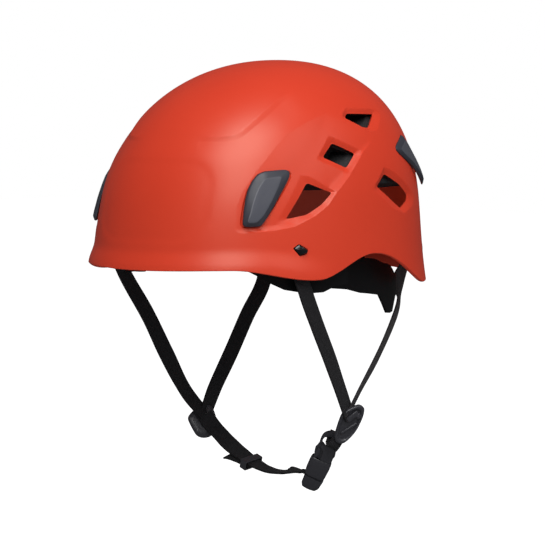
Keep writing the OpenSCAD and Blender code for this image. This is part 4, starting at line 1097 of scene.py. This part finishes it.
# buckle: the half on the divider has a ring for its web and a cover over one prong
buckleLook = {
    "ring": [(4, 0.2), (4.1, 7.4), (6.4, 9.4), (7.4, 13.6), (7.8, 18), (7.2, 22), (5, 25), (1.5, 26.6),
             (-2.5, 26.6), (-6.4, 25), (-8.6, 21.6), (-8.6, 17), (-7.8, 12.6), (-6.6, 9.2), (-4.3, 7.2),
             (-4.2, 0.2)],
    "ringSteps": 320, "ringCorners": 120, "middle": (0, 17), "half": 2, "edge": 0.6, "sharp": 60,
    "eye": [(-5.5, 13.4), (5.5, 13.4), (5.5, 20.6), (-5.5, 20.6)], "eyeRound": 1.6, "eyeSteps": 6,
    "cover": [(0.6, -0.1), (1.4, 1), (1.3, 4.5), (2.2, 8.4), (4.6, 10.8), (5.6, 13), (3.6, 14.4),
              (-4.8, 14.4), (-6.6, 12.6), (-6.6, 10), (-7.2, 7), (-7.9, 4), (-7.6, 0.6), (-6.8, -0.1)],
    "coverMiddle": (-3, 6),
    "coverLoops": [(0.9, 2.0), (0.99, 2.1), (1, 2.4), (1, 2.9), (0.95, 3.4), (0.8, 3.65), (0.4, 3.7)],
    "tab": [(5.4, 9.6), (7, 6.4), (7.2, 2.4), (6.4, -0.1), (4.6, -0.1), (3.9, 2.4), (3.5, 6.6)],
    "tabMiddle": (5, 4.2),
    "tabLoops": [(0.9, 2.05), (1, 2.2), (1, 2.7), (0.9, 3.2), (0.6, 3.5), (0.3, 3.55)], "corners": 96,
    # the socket's sections along its axis: place, middle, half width, half depth
    "socket": [(-31.2, -1, 2.6, 1.5), (-30.3, -1, 5.6, 2.3), (-27.4, -1.2, 7.2, 2.9), (-23, -1.3, 7.6, 3.3),
               (-19.2, -1.3, 7.9, 3.6), (-18.7, -1.2, 6.9, 2.3), (-17.3, -1, 6.9, 2.3),
               (-16.8, -0.8, 8.1, 4.1), (-13, -0.6, 8.5, 4.5), (-6, -0.5, 8.7, 4.5),
               (-2.2, -0.4, 8.5, 4.2), (-0.8, -0.3, 8.1, 3.6), (-0.4, -0.2, 7.8, 3), (-0.9, 0, 7.6, 2.5),
               (-14.5, 0, 7.5, 2.4)],
    "square": 4.5, "sides": 64,
}


def addDome(bm, name):
    middle = np.array(buckleLook[name + "Middle"])
    outline = smoothLoop(buckleLook[name], buckleLook["corners"]) - middle
    loops = [(middle + outline * share, height) for share, height in buckleLook[name + "Loops"]]
    loftLoops(bm, loops, lambda q, height: (q[0], height, q[1]))


def finishBuckle(name, bm, body, *replaces):
    setPlace(bm, buckle["mouth"], buckle["across"], buckle["out"], buckle["axis"])
    makePiece(name, bm, body, [bucklePlastic], replaces)


def buildProngTab():
    bm = bmesh.new()
    addDome(bm, "tab")
    finishBuckle("prongTab", bm, "prong_a")


def buildBuckleYoke():
    bm = bmesh.new()
    middle = np.array(buckleLook["middle"])
    half = buckleLook["half"]
    outer = smoothLoop(buckleLook["ring"], buckleLook["ringSteps"])
    inner = roundLoop(buckleLook["eye"], buckleLook["eyeRound"], buckleLook["eyeSteps"])
    edges = []
    for loop in (outer, inner):
        spots = middle + rayLoop(loop, middle, buckleLook["ringCorners"])
        edges += addRing(bm, [(x, -half, z) for x, z in spots])[1]
    flat = bmesh.ops.bridge_loops(bm, edges=edges)["faces"]
    grown = bmesh.ops.extrude_face_region(bm, geom=flat)["geom"]
    bmesh.ops.translate(bm, vec=(0, 2 * half, 0), verts=vertsOf(grown))
    rims = [e for e in bm.edges if e.calc_face_angle(0) > math.radians(buckleLook["sharp"])]
    bmesh.ops.bevel(bm, geom=rims, offset=buckleLook["edge"], affect="EDGES", segments=2, profile=0.5,
                    material=-1)
    addDome(bm, "cover")
    finishBuckle("buckleYoke", bm, "helmet", "buckle_male")


# lofted along its axis: tail, groove, body, and in through the mouth
def buildSocket():
    bm = bmesh.new()
    turn = np.linspace(0, 2 * math.pi, buckleLook["sides"], endpoint=False)
    power = 2 / buckleLook["square"]
    corner = np.stack([np.sign(f) * np.abs(f) ** power for f in (np.cos(turn), np.sin(turn))], -1)
    loops = [(corner * (half, deep) + (middle, 0), at) for at, middle, half, deep in buckleLook["socket"]]
    loftLoops(bm, loops, lambda q, at: (q[0], q[1], at))
    finishBuckle("buckleSocket", bm, "socket", "buckle_socket")


buildBuckleYoke()
buildProngTab()
buildSocket()
print("buckle made")


# rigid parts of the frame keep their own solids, with softened edges and a finish
dressLook = {"edge": 0.35, "plugEdge": 1.3, "segments": 2, "sharp": 35, "weld": 0.005, "flat": 0.5}


def dressNode(name, material, edge):
    node = nodes[name]
    node.data.materials.clear()
    node.data.materials.append(material)
    for face in node.data.polygons:
        face.use_smooth = True
    weld = node.modifiers.new("weld", "WELD")
    weld.merge_threshold = dressLook["weld"] * mm
    flat = node.modifiers.new("flat", "DECIMATE")
    flat.decimate_type = "DISSOLVE"
    flat.angle_limit = math.radians(dressLook["flat"])
    soft = node.modifiers.new("soft", "BEVEL")
    soft.width = edge * mm
    soft.segments = dressLook["segments"]
    soft.limit_method = "ANGLE"
    soft.angle_limit = math.radians(dressLook["sharp"])
    even = node.modifiers.new("even", "WEIGHTED_NORMAL")
    even.keep_sharp = False


finishes = {
    "hanger_front_left": hangerPlastic, "hanger_front_right": hangerPlastic,
    "hanger_rear_left": hangerPlastic, "hanger_rear_right": hangerPlastic,
    "brow_band": bandPlastic, "band_arm_left": bandPlastic, "band_arm_right": bandPlastic,
    "temple_rivet_left": bandPlastic, "temple_rivet_right": bandPlastic,
    "temple_swivel_left": hangerPlastic, "temple_swivel_right": hangerPlastic,
    "nape_plate": bandPlastic, "ratchet_cover": bandPlastic, "ratchet_wheel": hangerPlastic,
    "cover_screws": turnedSteel, "wheel_axle": turnedSteel, "click_spring": turnedSteel,
    "drive_pinion": pinionPlastic, "strap_slider": bucklePlastic,
    "prong_inner": bucklePlastic, "prong_outer": bucklePlastic,
}
for name, material in finishes.items():
    dressNode(name, material, dressLook["plugEdge" if name.startswith("hanger") else "edge"])
print("rigid parts dressed")


# stage: pale floor under the part, pale world, soft boxes and the camera of the photograph
stageLook = {"floor": -0.3, "half": 6, "middle": 0.05, "pale": 0.55, "paleMirrored": 0.06, "rough": 0.9,
             "glow": 0.9, "ambient": 0.305, "ambientMirrored": 0.08}
# soft boxes: degrees round from the front and up, metres away and across, and watts
softBoxes = {
    "highBox": {"round": 45, "up": 65, "away": 2.0, "size": 0.9, "power": 18.4},
    "lowBox": {"round": 45, "up": 35, "away": 2.0, "size": 0.9, "power": 12.8},
    "sideBox": {"round": 100, "up": 35, "away": 1.9, "size": 1.0, "power": 5.2},
}


# a level that drops where it is seen in a gloss
def dimmed(tree, path, full, mirrored):
    change = mathNode(tree, "MULTIPLY", path.outputs["Is Glossy Ray"], mirrored - full)
    return mathNode(tree, "ADD", change, full)


def paleFloor():
    bm = bmesh.new()
    bmesh.ops.create_grid(bm, x_segments=2, y_segments=2, size=stageLook["half"])
    bmesh.ops.translate(bm, vec=(0, 0, stageLook["floor"]), verts=bm.verts)
    mesh = bpy.data.meshes.new("floor")
    bm.to_mesh(mesh)
    bm.free()
    floor = addObject("floor", mesh)
    material, tree, shader, _ = newMaterial("paleFloor")
    shader.inputs["Roughness"].default_value = stageLook["rough"]
    shader.inputs["Emission Color"].default_value = (1, 1, 1, 1)
    path = tree.nodes.new("ShaderNodeLightPath")
    tone = dimmed(tree, path, stageLook["pale"], stageLook["paleMirrored"])
    tree.links.new(tone, shader.inputs["Base Color"])
    glow = mathNode(tree, "MULTIPLY", path.outputs["Is Camera Ray"], stageLook["glow"])
    tree.links.new(glow, shader.inputs["Emission Strength"])
    mesh.materials.append(material)


def paleWorld():
    world = bpy.data.worlds.new("studio")
    world.use_nodes = True
    scene.world = world
    tree = world.node_tree
    back = tree.nodes["Background"]
    back.inputs["Color"].default_value = (1, 1, 1, 1)
    path = tree.nodes.new("ShaderNodeLightPath")
    seen = mathNode(tree, "ADD", path.outputs["Is Camera Ray"], path.outputs["Is Transmission Ray"],
                    clamp=True)
    light = dimmed(tree, path, stageLook["ambient"], stageLook["ambientMirrored"])
    tree.links.new(mathNode(tree, "MAXIMUM", seen, light), back.inputs["Strength"])


def softBox(name, look):
    lamp = bpy.data.lights.new(name, "AREA")
    lamp.shape = "RECTANGLE"
    lamp.size = lamp.size_y = look["size"]
    lamp.energy = look["power"]
    turn, up = math.radians(look["round"]), math.radians(look["up"])
    middle = Vector((0, 0, stageLook["middle"]))
    toBox = Vector((math.sin(turn) * math.cos(up), -math.cos(turn) * math.cos(up), math.sin(up)))
    box = addObject(name, lamp)
    box.location = middle + toBox * look["away"]
    box.rotation_euler = (-toBox).to_track_quat("-Z", "Y").to_euler()


# camera fitted to the photograph: distances in millimetres, pixels of a 545 square
view = {"azimuth": 38.17, "elevation": 2.24, "distance": 1600, "target": (0, 0, 50), "focal": 2066.3,
        "targetPixel": (264.13, 193.49), "frame": 545, "sensor": 36, "near": 0.05}


def photoCamera():
    az, el = math.radians(view["azimuth"]), math.radians(view["elevation"])
    right = Vector((math.cos(az), math.sin(az), 0))
    back = Vector((math.sin(az) * math.cos(el), -math.cos(az) * math.cos(el), math.sin(el)))
    up = back.cross(right)
    eye = Vector(view["target"]) + back * view["distance"]
    half = view["frame"] / 2
    aim = (-back + right * (half - view["targetPixel"][0]) / view["focal"]
           - up * (half - view["targetPixel"][1]) / view["focal"])
    data = bpy.data.cameras.new("photoCamera")
    data.sensor_width = view["sensor"]
    data.lens = view["sensor"] * view["focal"] / view["frame"] * aim.length
    data.clip_start = view["near"]
    camera = addObject("photoCamera", data)
    camera.location = eye * mm
    camera.rotation_euler = aim.to_track_quat("-Z", "Y").to_euler()
    scene.camera = camera


paleFloor()
paleWorld()
for name, look in softBoxes.items():
    softBox(name, look)
photoCamera()
print("stage set")
